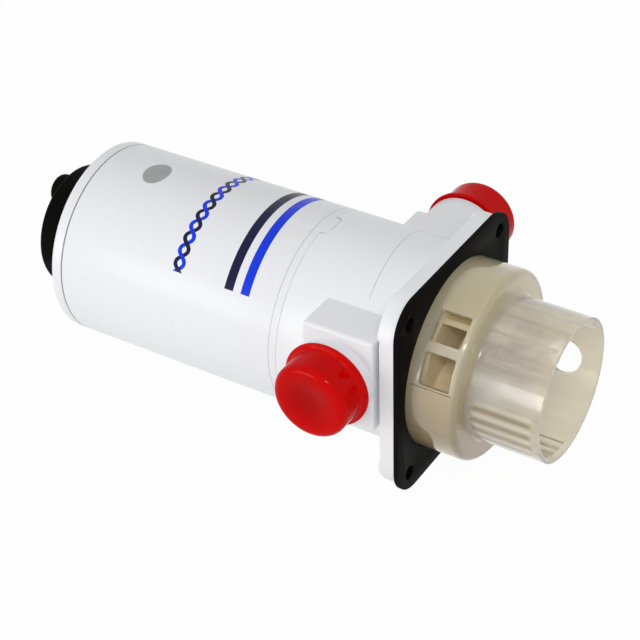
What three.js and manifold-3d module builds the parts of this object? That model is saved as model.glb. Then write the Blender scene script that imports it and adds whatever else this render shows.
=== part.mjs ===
// Motor and pump unit of a 12 V electric toilet: a sleeved motor, a rinse pump with two capped side ports,
// a square flange with its gasket plate, and a clear macerator housing with the chopper inside.
// Lengths are in millimetres. X runs along the pump axis from the motor to the macerator, Y runs from port
// to port and Z is up. Stations along X are counted from the front face of the gasket plate.

import * as THREE from 'three';
import { mergeVertices } from 'three/addons/utils/BufferGeometryUtils.js';
import Module from 'manifold-3d';

const wasm = await Module();
wasm.setup();

// Fits shared by all pieces
const fitGap = 0.3; // between pieces that seat in each other
const cutPast = 1; // how far a cutting tool runs past a face
const weld = 1e-4; // vertices nearer than this are one

// Body of the unit: the sleeve, the rear cap and the pump housing share its radius
const bodyRadius = 42.5;

// Flange and gasket plate
const flangeMargin = 3.5; // from the body to each edge of the flange
const cornerHoleInset = 9.25; // corner hole centre, from the flange's edges
const cornerHoleRadius = 3.1;
const flangeCorner = 18;
const flangeThickness = 6.1;
const earThickness = 7.9; // flange round its corner holes
const earRadius = 10;
const gasketCorner = 14;
const gasketThickness = 2;

// Pump housing
const housingWall = 3;
const chamberRadius = 25.5;
const chamberLength = 28;
const chamberFloor = 5; // wall between chamber and motor
const impellerWidth = chamberLength - 2 * fitGap;
const plateLedge = 6.5; // round the chamber, for the wear plate and the seal plate
const lipRecessDepth = 2;
const sealBossRadius = 15.5;
const sealBossHeight = 4;

// Port blocks and spigots
const nearPortX = -27;
const nearPortZ = 9.3;
const farPortX = -28.9;
const farPortZ = 11.8;
const portBoreRadius = 11;
const blockX = -27;
const blockWidth = 33.3; // along X
const blockTop = 31.1;
const blockBottom = -12.5;
const nearBlockReach = 4.5; // beyond the body, each side on its own
const farBlockReach = 0.5;
const nearCollarLength = 5.4; // beyond the block
const farCollarLength = 21.2;
const collarRadius = 17.2;
const spigotRadius = 14.7;
const spigotLength = 13.6; // beyond its collar
const portTubeRadius = 14; // round wall that carries the bore through the cored housing

// Port caps
const capWall = 1.3;
const capRimRadius = 18.4;
const capRimThickness = 1.5;
const capFlare = 2.2; // fillet between rim and tube
const capEdge = 3.5; // rounding of the closed end
const capEndWall = 1.6;
const capStandOff = 0.6; // rim to collar

// Macerator housing
const ringInset = 2.5; // from the body down to the ring
const ringLength = 21;
const ringWall = 2.5;
const ringEdge = 3; // rounding of the ring's front edge
const lipWidth = 3; // round the ring's rear end
const shoulderWidth = 10; // from the ring down to the cup
const cupLength = 30.5; // in front of the ring
const cupWall = 2;
const rootFillet = 1.6;
const rearWall = 2.5;
const rearSpigotLength = 2;
const rearSpigotWall = 3.2;
const plateSeatWidth = 6; // ledge behind the chopper plate
const windowAngles = [[119, 138], [144, 163.5]]; // degrees, counted from +Y towards +Z
const windowStart = 4.5;
const windowMargin = 0.2; // between the windows and the ring's rounded edge
const dischargeFromMouth = 15.5;
const dischargeAngle = -13.5;
const dischargeRadius = 7.5;
const ribCount = 15;
const ribFirstAngle = 115;
const ribPitchAngle = 11.25;
const ribRadius = 1;
const ribStandOff = 0.5; // in front of the chopper plate
const mouthBand = 4; // plain band between the ribs and the cup's mouth

// Sleeve, rear cap and boot
const sleeveWall = 2.2;
const tabHalfWidth = 6.5;
const tabLength = 3.2;
const capRimLength = 2.7;
const capRimEdge = 1;
const capSkirtWall = 2;
const capSkirtLength = 7.3; // from the rim to the motor's rear bell
const cableHoleRadius = 14;
const pillarRadius = 3.5;
const capScrewMargin = 1.3; // between a screw head and the collar
const capScrewRadius = 1.9;
const capScrewHeadRadius = 3.4;
const capScrewHeadHeight = 2.6;
const bootRadius = 27.5;
const bootDepth = 19.5;
const bootWall = 2.4;
const bootEdge = 2.5;
const bootCollarHeight = 5;
const bootCollarWall = 2.5;
const glandY = -3;
const glandZ = 18;
const glandRadius = 7.2;
const glandReach = 6; // behind the boot's rear face
const glandEdge = 3;
const glandBoreRadius = 3.5;

// Motor
const canWall = 2;
const bellThickness = 3.7;
const bellSpigotLength = 4;
const bellSpigotWall = 3;
const rearBellThickness = 4;
const rearSpigotDepth = 2;
const rearBearingRadius = 11;
const rearBearingWidth = 7;
const frontBearingRadius = 16;
const frontBearingWidth = 10;
const bearingWall = 3.2;
const bellLipRadius = 7.5;
const bellLipThickness = 2.7;
const boltMargin = 3; // between a through bolt and the can
const boltRadius = 2.5;
const boltHeadRadius = 4.2;
const boltHeadHeight = 3.5;
const boltReach = 12; // thread inside the pump housing
const boltBossRadius = 5.5;

// Armature, commutator and brushes
const shaftRadius = 5;
const journalRadius = 3.7; // rear journal
const threadRadius = 4; // front end
const coreLength = 44;
const slotCount = 12;
const slotRootRadius = 15;
const toothWidth = 4.6;
const slotMouth = 2.6;
const toothTip = 2;
const airGap = 0.6;
const magnetThickness = 9.6;
const magnetOverhang = 3; // beyond each end of the core
const magnetHalfAngle = 58; // degrees to each side of its middle
const windingStep = 3; // down from the core to the winding heads
const windingInner = 9;
const windingLength = 7.8;
const windingEdge = 2.5;
const windingGap = 2.6; // from the front winding to the bearing seat
const commutatorRadius = 11.5;
const commutatorLength = 11;
const commutatorBars = 12;
const commutatorGap = 1.6; // from the brush holder's board to the commutator
const barGap = 0.8;
const brushWidth = 8; // along X
const brushHeight = 6; // along Z
const brushBoxMargin = 6.1; // from the brush boxes to the can
const brushTravel = 3; // how far a brush can lift off the commutator
const springRadius = 2.4;
const springWireRadius = 0.4;
const springLength = 6;
const springTurns = 4;
const springTurnSteps = 8;
const brushBoxWall = 1.2;
const holderThickness = 3;
const holderHoleRadius = 16.5;
const holderRingWall = 2.2;
const holderRingLength = 6;

// Seals, rinse pump impeller and cam
const slingerRadius = 13;
const slingerThickness = 2;
const slingerStandOff = 3; // from the seal boss
const slingerGap = 3.3; // from the slinger to the motor's front bell
const sealRadius = 11;
const sealLength = 6;
const sealLedge = 2.5;
const hubRadius = 9;
const vaneCount = 6;
const vaneThickness = 3;
const vaneTipRadius = 2.3;
const camHalfAngle = 32;
const camThickness = 1.8;
const camClearance = 0.4; // over the vane tips
const keySide = 3;
const keyLength = 16;
const wearPlateThickness = 1.5;
const wearPlateHole = 7;
const sealPlateThickness = 5.5;
const frontSealLength = 3.7;
const ringSection = 0.95;
const ringGrooveDepth = 2.3;
const ringGrooveWidth = 2.5;

// Macerator pieces
const wheelTipGap = 3.5;
const wheelStart = 2;
const wheelThickness = 2.5;
const wheelVaneGap = 2; // from the vanes to the ring's front wall
const wheelVaneCount = 5;
const wheelVaneThickness = 2.4;
const wheelVaneSweep = 50; // degrees from hub to rim
const wheelHubBack = 3;
const pinRadius = 1.5;
const pinLength = 15;
const chopperThickness = 1.5;
const chopperHoleCount = 6;
const chopperHoleMargin = 3.3; // from the holes to the bore and to the seat
const plateScrewCount = 4;
const plateScrewFirstAngle = 45;
const plateScrewRadius = 1.2;
const plateScrewHeadRadius = 2.1;
const plateScrewHeadHeight = 1.5;
const plateScrewLength = 3.6;
const bladeClearance = 0.7; // over the plate screws
const bladeThickness = 3;
const bladeTipGap = 4.5; // from the blade's tips to the cup
const bladeHubRadius = 8.5;
const bladeTipWidth = 5;
const washerRadius = 7.5;
const washerThickness = 0.8;
const nutRadius = 7.2;
const nutHeight = 6;
const threadPastNut = 1.7;

// Sides given to round shapes, by how large and how visible they are
const largeSides = 44;
const mediumSides = 28;
const innerSides = 24;
const smallSides = 16;
const tinySides = 8;
const hexSides = 6;
const ringSectionSides = 4;
const edgeSteps = 3; // steps of a rounded edge
const vaneSteps = 6; // steps along a swept vane

// Sizes that follow the chamber's radius
const plateBoreRadius = chamberRadius + plateLedge;
const camOuter = chamberRadius - fitGap;
const camInner = camOuter - camThickness;
const impellerRadius = camInner - camClearance;

// Sizes that follow the body's radius
const flangeSide = 2 * (bodyRadius + flangeMargin);
const cornerHoleOffset = flangeSide / 2 - cornerHoleInset;
const nearBlockFace = bodyRadius + nearBlockReach;
const farBlockFace = bodyRadius + farBlockReach;
const nearCollarEnd = nearBlockFace + nearCollarLength;
const farCollarEnd = farBlockFace + farCollarLength;
const ringRadius = bodyRadius - ringInset;
const lipRadius = ringRadius + lipWidth;
const cupRadius = ringRadius - shoulderWidth;
const cupInner = cupRadius - cupWall;
const seatRadius = cupInner - plateSeatWidth;
const chopperHoleOffset = (seatRadius + wearPlateHole) / 2;
const chopperHoleRadius = (seatRadius - wearPlateHole) / 2 - chopperHoleMargin;
const bladeRadius = cupInner - bladeTipGap;
const canRadius = bodyRadius - sleeveWall - fitGap;
const canInner = canRadius - canWall;
const magnetOuter = canInner - fitGap;
const magnetInner = magnetOuter - magnetThickness;
const coreRadius = magnetInner - airGap;
const brushInnerY = commutatorRadius + fitGap;
const brushBoxInnerY = brushInnerY + brushTravel;
const brushBoxEndY = canInner - fitGap - brushBoxMargin;
const springStartY = brushBoxEndY - brushBoxWall - fitGap - springLength;
const brushLength = springStartY - fitGap - brushInnerY;

// Stations along the axis, from the front face of the gasket plate
const gasketBack = -gasketThickness;
const flangeBack = gasketBack - flangeThickness;
const earBack = gasketBack - earThickness;
const lipBack = gasketBack - lipRecessDepth;
const spigotBack = lipBack - rearSpigotLength;
const sealPlateBack = spigotBack - sealPlateThickness;
const wearPlateBack = sealPlateBack - wearPlateThickness;
const chamberRear = wearPlateBack - chamberLength;
const floorRear = chamberRear - chamberFloor;
const sealBossRear = floorRear - sealBossHeight;
const slingerEnd = sealBossRear - slingerStandOff;
const housingRear = slingerEnd - slingerThickness - slingerGap;
const frontBellBack = housingRear - bellThickness;
const bearingSeatRear = housingRear - bellLipThickness - frontBearingWidth - fitGap;
const coreFront = bearingSeatRear - windingGap - windingLength - fitGap;
const coreRear = coreFront - coreLength;
const commutatorEnd = coreRear - 2 * fitGap - windingLength;
const commutatorStart = commutatorEnd - commutatorLength;
const boardEnd = commutatorStart - commutatorGap;
const boardStart = boardEnd - holderThickness;
const holderRear = boardStart - holderRingLength;
const canRear = holderRear - rearSpigotDepth;
const rearBellBack = canRear - rearBellThickness;
const sleeveRear = rearBellBack - capSkirtLength;
const capRear = sleeveRear - capRimLength;
const bootRear = capRear - bootDepth;
const glandEnd = bootRear - glandReach;
const boltOffset = canInner - boltMargin - boltRadius;
const rotorBore = shaftRadius + fitGap;
const cupEnd = ringLength + cupLength;
const wheelFrontWall = ringLength - ringWall;
const wheelEnd = wheelFrontWall - wheelVaneGap;
const wheelRadius = ringRadius - ringWall - wheelTipGap;
const pinX = (wheelStart + wheelEnd) / 2;
const chopperEnd = ringLength + chopperThickness;
const plateScrewOffset = cupInner - plateSeatWidth / 2;
const plateRadius = plateBoreRadius - fitGap;
const bladeStart = chopperEnd + plateScrewHeadHeight + bladeClearance;
const nutStart = bladeStart + bladeThickness + washerThickness;
const shaftEnd = nutStart + nutHeight + threadPastNut;

// Materials
function paint(color, roughness, metalness = 0) {
  return new THREE.MeshStandardMaterial({ color, roughness, metalness });
}
const whitePlastic = paint(0xe9ebee, 0.3);
const redPlastic = paint(0xc40808, 0.3);
const blackRubber = paint(0x141412, 0.6);
const amberPlastic = new THREE.MeshStandardMaterial({
  color: 0xc4bb98, roughness: 0.2, transparent: true, opacity: 0.6,
});
const steel = paint(0x9a9ca0, 0.35, 1);
const zincSteel = paint(0xb9bcc0, 0.3, 1);
const castAluminium = paint(0xa5a7a9, 0.5, 1);
const brightSteel = paint(0xd0d2d4, 0.2, 1);
const ferrite = paint(0x3b3b3d, 0.7);
const copper = paint(0xb87333, 0.35, 1);
const carbon = paint(0x2a2a2c, 0.6);
const brownBoard = paint(0x7a4a22, 0.6);
const tanPlastic = paint(0x9a7b52, 0.45);
const blackPlastic = paint(0x1c1c1e, 0.45);

// Solids: every mesh is one closed body with its faces pointing out
function closedBody(geometry) {
  const bare = geometry.clone();
  bare.deleteAttribute('normal');
  bare.deleteAttribute('uv');
  const merged = mergeVertices(bare, weld);
  const place = merged.getAttribute('position');
  const corners = [0, 1, 2].map(() => new THREE.Vector3());
  let faces = [];
  let volume = 0;
  for (let i = 0; i < merged.index.count; i += 3) {
    const face = [merged.index.getX(i), merged.index.getX(i + 1), merged.index.getX(i + 2)];
    if (new Set(face).size < 3) continue;
    face.forEach((vertex, k) => corners[k].fromBufferAttribute(place, vertex));
    volume += corners[0].dot(corners[1].cross(corners[2]));
    faces.push(face);
  }
  if (volume < 0) faces = faces.map(([a, b, c]) => [a, c, b]);
  merged.setIndex(faces.flat());
  return merged;
}

function toSolid(geometry) {
  const body = closedBody(geometry);
  return new wasm.Manifold(new wasm.Mesh({
    numProp: 3,
    vertProperties: new Float32Array(body.getAttribute('position').array),
    triVerts: new Uint32Array(body.index.array),
  }));
}

function toGeometry(solid) {
  const mesh = solid.getMesh();
  const geometry = new THREE.BufferGeometry();
  geometry.setAttribute('position', new THREE.BufferAttribute(new Float32Array(mesh.vertProperties), 3));
  geometry.setIndex([...mesh.triVerts]);
  geometry.computeVertexNormals();
  return geometry;
}

function join(...geometries) {
  return toGeometry(geometries.map(toSolid).reduce((all, one) => all.add(one)));
}

function cut(geometry, ...tools) {
  return toGeometry(tools.map(toSolid).reduce((left, tool) => left.subtract(tool), toSolid(geometry)));
}

function common(first, second) {
  return toGeometry(toSolid(first).intersect(toSolid(second)));
}

// A body turned about the pump axis, from points [station, radius] that go round its section
function turned(points, sides) {
  const outline = [...points, points[0]].map(([x, radius]) => new THREE.Vector2(radius, x));
  return closedBody(new THREE.LatheGeometry(outline, sides).rotateZ(-Math.PI / 2));
}

function tube(start, end, inner, outer, sides) {
  return turned([[start, inner], [end, inner], [end, outer], [start, outer]], sides);
}

function rod(start, end, radius, sides) {
  return new THREE.CylinderGeometry(radius, radius, end - start, sides)
    .rotateZ(-Math.PI / 2)
    .translate((start + end) / 2, 0, 0);
}

// Points of a rounded edge in a section: a quarter arc about a centre
function edgeArc(x, radius, size, fromAngle, toAngle) {
  return Array.from({ length: edgeSteps + 1 }, (_, i) => {
    const angle = THREE.MathUtils.degToRad(fromAngle + ((toAngle - fromAngle) * i) / edgeSteps);
    return [x + size * Math.cos(angle), radius + size * Math.sin(angle)];
  });
}

// A flat outline in Y and Z, drawn out along X
function prismX(shape, start, end, curveSegments = tinySides) {
  const toAxis = new THREE.Matrix4().makeBasis(
    new THREE.Vector3(0, 1, 0), new THREE.Vector3(0, 0, 1), new THREE.Vector3(1, 0, 0));
  return new THREE.ExtrudeGeometry(shape, { depth: end - start, bevelEnabled: false, curveSegments })
    .applyMatrix4(toAxis)
    .translate(start, 0, 0);
}

function block(x, y, z, center) {
  return new THREE.BoxGeometry(x, y, z).translate(center[0], center[1], center[2]);
}

function ringPoint(radius, angle) {
  const turn = THREE.MathUtils.degToRad(angle);
  return [radius * Math.cos(turn), radius * Math.sin(turn)];
}

function outline(points) {
  return new THREE.Shape(points.map(([y, z]) => new THREE.Vector2(y, z)));
}

function arcPoints(radius, fromAngle, toAngle, steps) {
  const stepAngle = (toAngle - fromAngle) / steps;
  return Array.from({ length: steps + 1 }, (_, i) => ringPoint(radius, fromAngle + i * stepAngle));
}

function sector(inner, outer, fromAngle, toAngle, steps) {
  return outline([
    ...arcPoints(outer, fromAngle, toAngle, steps),
    ...arcPoints(inner, toAngle, fromAngle, steps),
  ]);
}

function roundedSquare(side, corner) {
  const half = side / 2;
  const shape = new THREE.Shape();
  shape.absarc(half - corner, half - corner, corner, 0, Math.PI / 2);
  shape.absarc(corner - half, half - corner, corner, Math.PI / 2, Math.PI);
  shape.absarc(corner - half, corner - half, corner, Math.PI, Math.PI * 1.5);
  shape.absarc(half - corner, corner - half, corner, Math.PI * 1.5, Math.PI * 2);
  return shape;
}

const cornerCentres = [[1, 1], [-1, 1], [-1, -1], [1, -1]]
  .map(([y, z]) => [y * cornerHoleOffset, z * cornerHoleOffset]);

function cornerHoles(start, end) {
  return cornerCentres.map(([y, z]) =>
    rod(start - cutPast, end + cutPast, cornerHoleRadius, smallSides).translate(0, y, z));
}

// The two ports, each with its own place and collar
const ports = [
  { name: 'near', side: -1, x: nearPortX, z: nearPortZ, collarEnd: nearCollarEnd },
  { name: 'far', side: 1, x: farPortX, z: farPortZ, collarEnd: farCollarEnd },
];

function capEndY(port) {
  return port.collarEnd + spigotLength + fitGap + capEndWall;
}

// The unit lies with its flange edge down: the group stands it on that edge and centres it both ways
const unit = new THREE.Group();
const middleX = (glandEnd + cupEnd) / 2;
const middleY = ports.reduce((sum, port) => sum + port.side * capEndY(port), 0) / 2;
unit.position.set(-middleX, -middleY, flangeSide / 2);

function place(parent, name, geometry, material) {
  const mesh = new THREE.Mesh(geometry, material);
  mesh.name = name;
  parent.add(mesh);
  return mesh;
}

const motor = new THREE.Group();
const rotor = new THREE.Group();
const pump = new THREE.Group();
const macerator = new THREE.Group();
unit.add(motor, rotor, pump, macerator);

// Rear boot: a rubber cup over the cap's collar, with the gland lobe for the cable
function rearBoot() {
  const inner = bootRadius - bootWall;
  const shell = turned([
    [capRear, bootRadius],
    ...edgeArc(bootRear + bootEdge, bootRadius - bootEdge, bootEdge, 90, 180),
    [bootRear, 0],
    [bootRear + bootWall, 0],
    [bootRear + bootWall, inner],
    [capRear, inner],
  ], mediumSides);
  const lobe = turned([
    [bootRear + bootWall, 0],
    [bootRear + bootWall, glandRadius],
    ...edgeArc(glandEnd + glandEdge, glandRadius - glandEdge, glandEdge, 90, 180),
    [glandEnd, 0],
  ], smallSides).translate(0, glandY, glandZ);
  const cableBore = rod(glandEnd - cutPast, bootRear + bootWall + cutPast, glandBoreRadius, smallSides)
    .translate(0, glandY, glandZ);
  return cut(join(shell, lobe), cableBore);
}
place(motor, 'rear_boot', rearBoot(), blackRubber);

// Rear cap: rim, skirt inside the sleeve, collar under the boot and two screw pillars
const capScrewSides = [['cap_screw_near', -1], ['cap_screw_far', 1]];
const collarOuter = bootRadius - bootWall - fitGap;
const collarInner = collarOuter - bootCollarWall;
const capScrewOffset = collarInner - capScrewMargin - capScrewHeadRadius;

function rearCap() {
  const skirtOuter = bodyRadius - sleeveWall - fitGap;
  const disc = turned([
    [capRear, cableHoleRadius],
    [capRear, collarInner],
    [capRear - bootCollarHeight, collarInner],
    [capRear - bootCollarHeight, collarOuter],
    [capRear, collarOuter],
    [capRear, bodyRadius - capRimEdge],
    [capRear + capRimEdge, bodyRadius],
    [sleeveRear, bodyRadius],
    [sleeveRear, skirtOuter],
    [rearBellBack, skirtOuter],
    [rearBellBack, skirtOuter - capSkirtWall],
    [sleeveRear, skirtOuter - capSkirtWall],
    [sleeveRear, cableHoleRadius],
  ], largeSides);
  const pillars = capScrewSides.map(([, side]) =>
    rod(capRear + capRimEdge, rearBellBack, pillarRadius, smallSides).translate(0, side * capScrewOffset, 0));
  const holes = capScrewSides.map(([, side]) =>
    rod(capRear - cutPast, rearBellBack + cutPast, capScrewRadius + fitGap, tinySides)
      .translate(0, side * capScrewOffset, 0));
  return cut(join(disc, ...pillars), ...holes);
}
place(motor, 'rear_cap', rearCap(), whitePlastic);

for (const [name, side] of capScrewSides) {
  const screw = turned([
    [capRear - capScrewHeadHeight, 0],
    [capRear - capScrewHeadHeight, capScrewHeadRadius],
    [capRear, capScrewHeadRadius],
    [capRear, capScrewRadius],
    [rearBellBack + rearBellThickness - fitGap, capScrewRadius],
    [rearBellBack + rearBellThickness - fitGap, 0],
  ], tinySides);
  place(motor, name, screw, zincSteel).position.y = side * capScrewOffset;
}

// The tab at the top of the sleeve keys it to the pump housing
function tabPrism(grow) {
  const half = tabHalfWidth + grow;
  const front = housingRear + tabLength + grow;
  const roundStart = front - tabLength;
  const shape = new THREE.Shape();
  shape.moveTo(housingRear - cutPast, -half);
  shape.lineTo(roundStart, -half);
  shape.quadraticCurveTo(front, -half, front, 0);
  shape.quadraticCurveTo(front, half, roundStart, half);
  shape.lineTo(housingRear - cutPast, half);
  return new THREE.ExtrudeGeometry(shape,
    { depth: bodyRadius, bevelEnabled: false, curveSegments: edgeSteps });
}

// Motor sleeve
function motorSleeve() {
  const inner = bodyRadius - sleeveWall;
  const wall = tube(sleeveRear, housingRear, inner, bodyRadius, largeSides);
  const tabWall = tube(housingRear - cutPast, housingRear + tabLength + cutPast, inner, bodyRadius,
    largeSides);
  return join(wall, common(tabWall, tabPrism(0)));
}
place(motor, 'motor_sleeve', motorSleeve(), whitePlastic);

// Motor can and its two end bells
place(motor, 'motor_can', tube(canRear, frontBellBack, canInner, canRadius, largeSides), zincSteel);

const boltPlaces = [['through_bolt_upper', 1], ['through_bolt_lower', -1]];

function boltHoles(start, end) {
  return boltPlaces.map(([, side]) =>
    rod(start - cutPast, end + cutPast, boltRadius + fitGap, tinySides).translate(0, 0, side * boltOffset));
}

function rearEndBell() {
  const bossEnd = canRear + rearBearingWidth - fitGap;
  const seatRadius = rearBearingRadius + fitGap;
  const pocketRear = bossEnd - rearBearingWidth - fitGap;
  const spigotOuter = canInner - fitGap;
  const bell = turned([
    [rearBellBack, 0],
    [rearBellBack, canRadius],
    [canRear, canRadius],
    [canRear, spigotOuter],
    [canRear + rearSpigotDepth, spigotOuter],
    [canRear + rearSpigotDepth, spigotOuter - bellSpigotWall],
    [canRear, spigotOuter - bellSpigotWall],
    [canRear, seatRadius + bearingWall],
    [bossEnd, seatRadius + bearingWall],
    [bossEnd, seatRadius],
    [pocketRear, seatRadius],
    [pocketRear, journalRadius + fitGap],
    [pocketRear - fitGap, journalRadius + fitGap],
    [pocketRear - fitGap, 0],
  ], innerSides);
  const screwHoles = capScrewSides.map(([, side]) =>
    rod(rearBellBack - cutPast, canRear + cutPast, capScrewRadius + fitGap, tinySides)
      .translate(0, side * capScrewOffset, 0));
  return cut(bell, ...boltHoles(rearBellBack, canRear + rearSpigotDepth), ...screwHoles);
}
place(motor, 'rear_end_bell', rearEndBell(), castAluminium);

function frontEndBell() {
  const spigotOuter = canInner - fitGap;
  const seatRadius = frontBearingRadius + fitGap;
  const lipRear = housingRear - bellLipThickness;
  const bell = turned([
    [housingRear, bellLipRadius],
    [housingRear, canRadius],
    [frontBellBack, canRadius],
    [frontBellBack, spigotOuter],
    [frontBellBack - bellSpigotLength, spigotOuter],
    [frontBellBack - bellSpigotLength, spigotOuter - bellSpigotWall],
    [frontBellBack, spigotOuter - bellSpigotWall],
    [frontBellBack, seatRadius + bearingWall],
    [bearingSeatRear, seatRadius + bearingWall],
    [bearingSeatRear, seatRadius],
    [lipRear, seatRadius],
    [lipRear, bellLipRadius],
  ], innerSides);
  return cut(bell, ...boltHoles(frontBellBack - bellSpigotLength, housingRear));
}
place(motor, 'front_end_bell', frontEndBell(), castAluminium);

// Bearings, each seated in its bell
const rearBearingStart = canRear - fitGap;
const frontBearingEnd = housingRear - bellLipThickness;
const rearBearingEnd = rearBearingStart + rearBearingWidth;
const frontBearingStart = frontBearingEnd - frontBearingWidth;
place(motor, 'rear_bearing', tube(rearBearingStart, rearBearingEnd, journalRadius + fitGap,
  rearBearingRadius, smallSides), brightSteel);
place(motor, 'front_bearing', tube(frontBearingStart, frontBearingEnd, rotorBore,
  frontBearingRadius, smallSides), brightSteel);

// Two arc magnets inside the can
const magnetStart = coreRear - magnetOverhang;
const magnetEnd = coreFront + magnetOverhang;
for (const [name, middle] of [['magnet_near', 180], ['magnet_far', 0]]) {
  const arc = sector(magnetInner, magnetOuter, middle - magnetHalfAngle, middle + magnetHalfAngle, slotCount);
  place(motor, name, prismX(arc, magnetStart, magnetEnd), ferrite);
}

// Through bolts clamp both bells and screw into the pump housing
for (const [name, side] of boltPlaces) {
  const bolt = turned([
    [rearBellBack - boltHeadHeight, 0],
    [rearBellBack - boltHeadHeight, boltHeadRadius],
    [rearBellBack, boltHeadRadius],
    [rearBellBack, boltRadius],
    [housingRear + boltReach, boltRadius],
    [housingRear + boltReach, 0],
  ], tinySides);
  place(motor, name, bolt, zincSteel).position.z = side * boltOffset;
}

// Shaft, from the rear bearing to the blade nut
function motorShaft() {
  const journalEnd = rearBearingEnd + fitGap;
  const shaft = turned([
    [rearBearingStart + fitGap, 0],
    [rearBearingStart + fitGap, journalRadius],
    [journalEnd, journalRadius],
    [journalEnd, shaftRadius],
    [bladeStart, shaftRadius],
    [bladeStart, threadRadius],
    [shaftEnd, threadRadius],
    [shaftEnd, 0],
  ], smallSides);
  const keySeat = block(keyLength + 2 * fitGap, keySide + 2 * fitGap, keySide + 2 * fitGap,
    [impellerMiddle, 0, shaftRadius]);
  const pinHole = new THREE.CylinderGeometry(pinRadius + fitGap, pinRadius + fitGap, pinLength, tinySides)
    .rotateX(Math.PI / 2)
    .translate(pinX, 0, 0);
  return cut(shaft, keySeat, pinHole);
}
const impellerRear = chamberRear + (chamberLength - impellerWidth) / 2;
const impellerMiddle = impellerRear + impellerWidth / 2;
place(rotor, 'motor_shaft', motorShaft(), brightSteel);

// Armature core: stacked laminations with T-shaped teeth
function armatureCore() {
  const pitch = 360 / slotCount;
  const mouthAngle = THREE.MathUtils.radToDeg(slotMouth / coreRadius) / 2;
  const innerTip = coreRadius - toothTip;
  const points = [];
  for (let i = 0; i < slotCount; i += 1) {
    const middle = i * pitch;
    const rootAngle = THREE.MathUtils.radToDeg(toothWidth / slotRootRadius) / 2;
    const neckAngle = THREE.MathUtils.radToDeg(toothWidth / innerTip) / 2;
    const tipAngle = pitch / 2 - mouthAngle;
    points.push(
      ringPoint(slotRootRadius, middle - rootAngle),
      ringPoint(innerTip - toothTip, middle - neckAngle),
      ringPoint(innerTip, middle - tipAngle),
      ringPoint(coreRadius, middle - tipAngle),
      ringPoint(coreRadius, middle),
      ringPoint(coreRadius, middle + tipAngle),
      ringPoint(innerTip, middle + tipAngle),
      ringPoint(innerTip - toothTip, middle + neckAngle),
      ringPoint(slotRootRadius, middle + rootAngle),
    );
  }
  const shape = outline(points);
  const bore = new THREE.Path();
  bore.absarc(0, 0, rotorBore, 0, Math.PI * 2);
  shape.holes.push(bore);
  return prismX(shape, coreRear, coreFront);
}
place(rotor, 'armature_core', armatureCore(), steel);

// Winding heads at both ends of the core
function windingHead(start) {
  const end = start + windingLength;
  const windingRadius = coreRadius - windingStep;
  return turned([
    [start, windingInner],
    ...edgeArc(start + windingEdge, windingRadius - windingEdge, windingEdge, 180, 90),
    ...edgeArc(end - windingEdge, windingRadius - windingEdge, windingEdge, 90, 0),
    [end, windingInner],
  ], smallSides);
}
place(rotor, 'winding_rear', windingHead(coreRear - fitGap - windingLength), copper);
place(rotor, 'winding_front', windingHead(coreFront + fitGap), copper);

// Commutator: copper bars round the shaft behind the rear winding
function commutatorBody() {
  const pitch = 360 / commutatorBars;
  const gapAngle = THREE.MathUtils.radToDeg(barGap / commutatorRadius);
  const points = [];
  for (let i = 0; i < commutatorBars; i += 1) {
    const start = i * pitch;
    points.push(
      ringPoint(commutatorRadius, start + gapAngle / 2),
      ringPoint(commutatorRadius, start + pitch / 2),
      ringPoint(commutatorRadius, start + pitch - gapAngle / 2),
      ringPoint(commutatorRadius - barGap, start + pitch - gapAngle / 2),
      ringPoint(commutatorRadius - barGap, start + pitch + gapAngle / 2),
    );
  }
  const shape = outline(points);
  const bore = new THREE.Path();
  bore.absarc(0, 0, rotorBore, 0, Math.PI * 2);
  shape.holes.push(bore);
  return prismX(shape, commutatorStart, commutatorEnd);
}
place(rotor, 'commutator', commutatorBody(), copper);

// Brush holder: a board with two brush boxes, spaced from the rear bell by its own rim
const brushMiddle = commutatorStart + commutatorLength / 2;
const brushSides = [['near', -1], ['far', 1]];

function brushHolder() {
  const outer = canInner - fitGap;
  const board = turned([
    [holderRear, outer - holderRingWall],
    [holderRear, outer],
    [boardEnd, outer],
    [boardEnd, holderHoleRadius],
    [boardStart, holderHoleRadius],
    [boardStart, outer - holderRingWall],
  ], innerSides);
  const boxFront = brushMiddle + brushWidth / 2 + fitGap + brushBoxWall;
  const boxes = [];
  const channels = [];
  for (const [, side] of brushSides) {
    const middleY = (side * (brushBoxInnerY + brushBoxEndY)) / 2;
    const openY = side * (brushBoxInnerY + brushBoxEndY - brushBoxWall - cutPast) / 2;
    boxes.push(block(boxFront - boardStart, brushBoxEndY - brushBoxInnerY,
      brushHeight + 2 * (fitGap + brushBoxWall), [(boxFront + boardStart) / 2, middleY, 0]));
    channels.push(block(brushWidth + 2 * fitGap, brushBoxEndY - brushBoxWall - brushBoxInnerY + cutPast,
      brushHeight + 2 * fitGap, [brushMiddle, openY, 0]));
  }
  return cut(join(board, ...boxes), ...channels, ...boltHoles(holderRear, boardEnd));
}
place(motor, 'brush_holder_plate', brushHolder(), brownBoard);

// Brush spring: one open coil behind each brush
class CoilPath extends THREE.Curve {
  getPoint(share, target = new THREE.Vector3()) {
    const turn = share * springTurns * Math.PI * 2;
    const reach = springRadius - springWireRadius;
    const run = springLength - 2 * springWireRadius;
    return target.set(reach * Math.cos(turn), springWireRadius + share * run, reach * Math.sin(turn));
  }
}

function brushSpring() {
  const section = new THREE.Shape();
  section.absarc(0, 0, springWireRadius, 0, Math.PI * 2);
  return new THREE.ExtrudeGeometry(section, {
    steps: springTurns * springTurnSteps,
    extrudePath: new CoilPath(),
    curveSegments: edgeSteps,
    bevelEnabled: false,
  });
}

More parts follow.
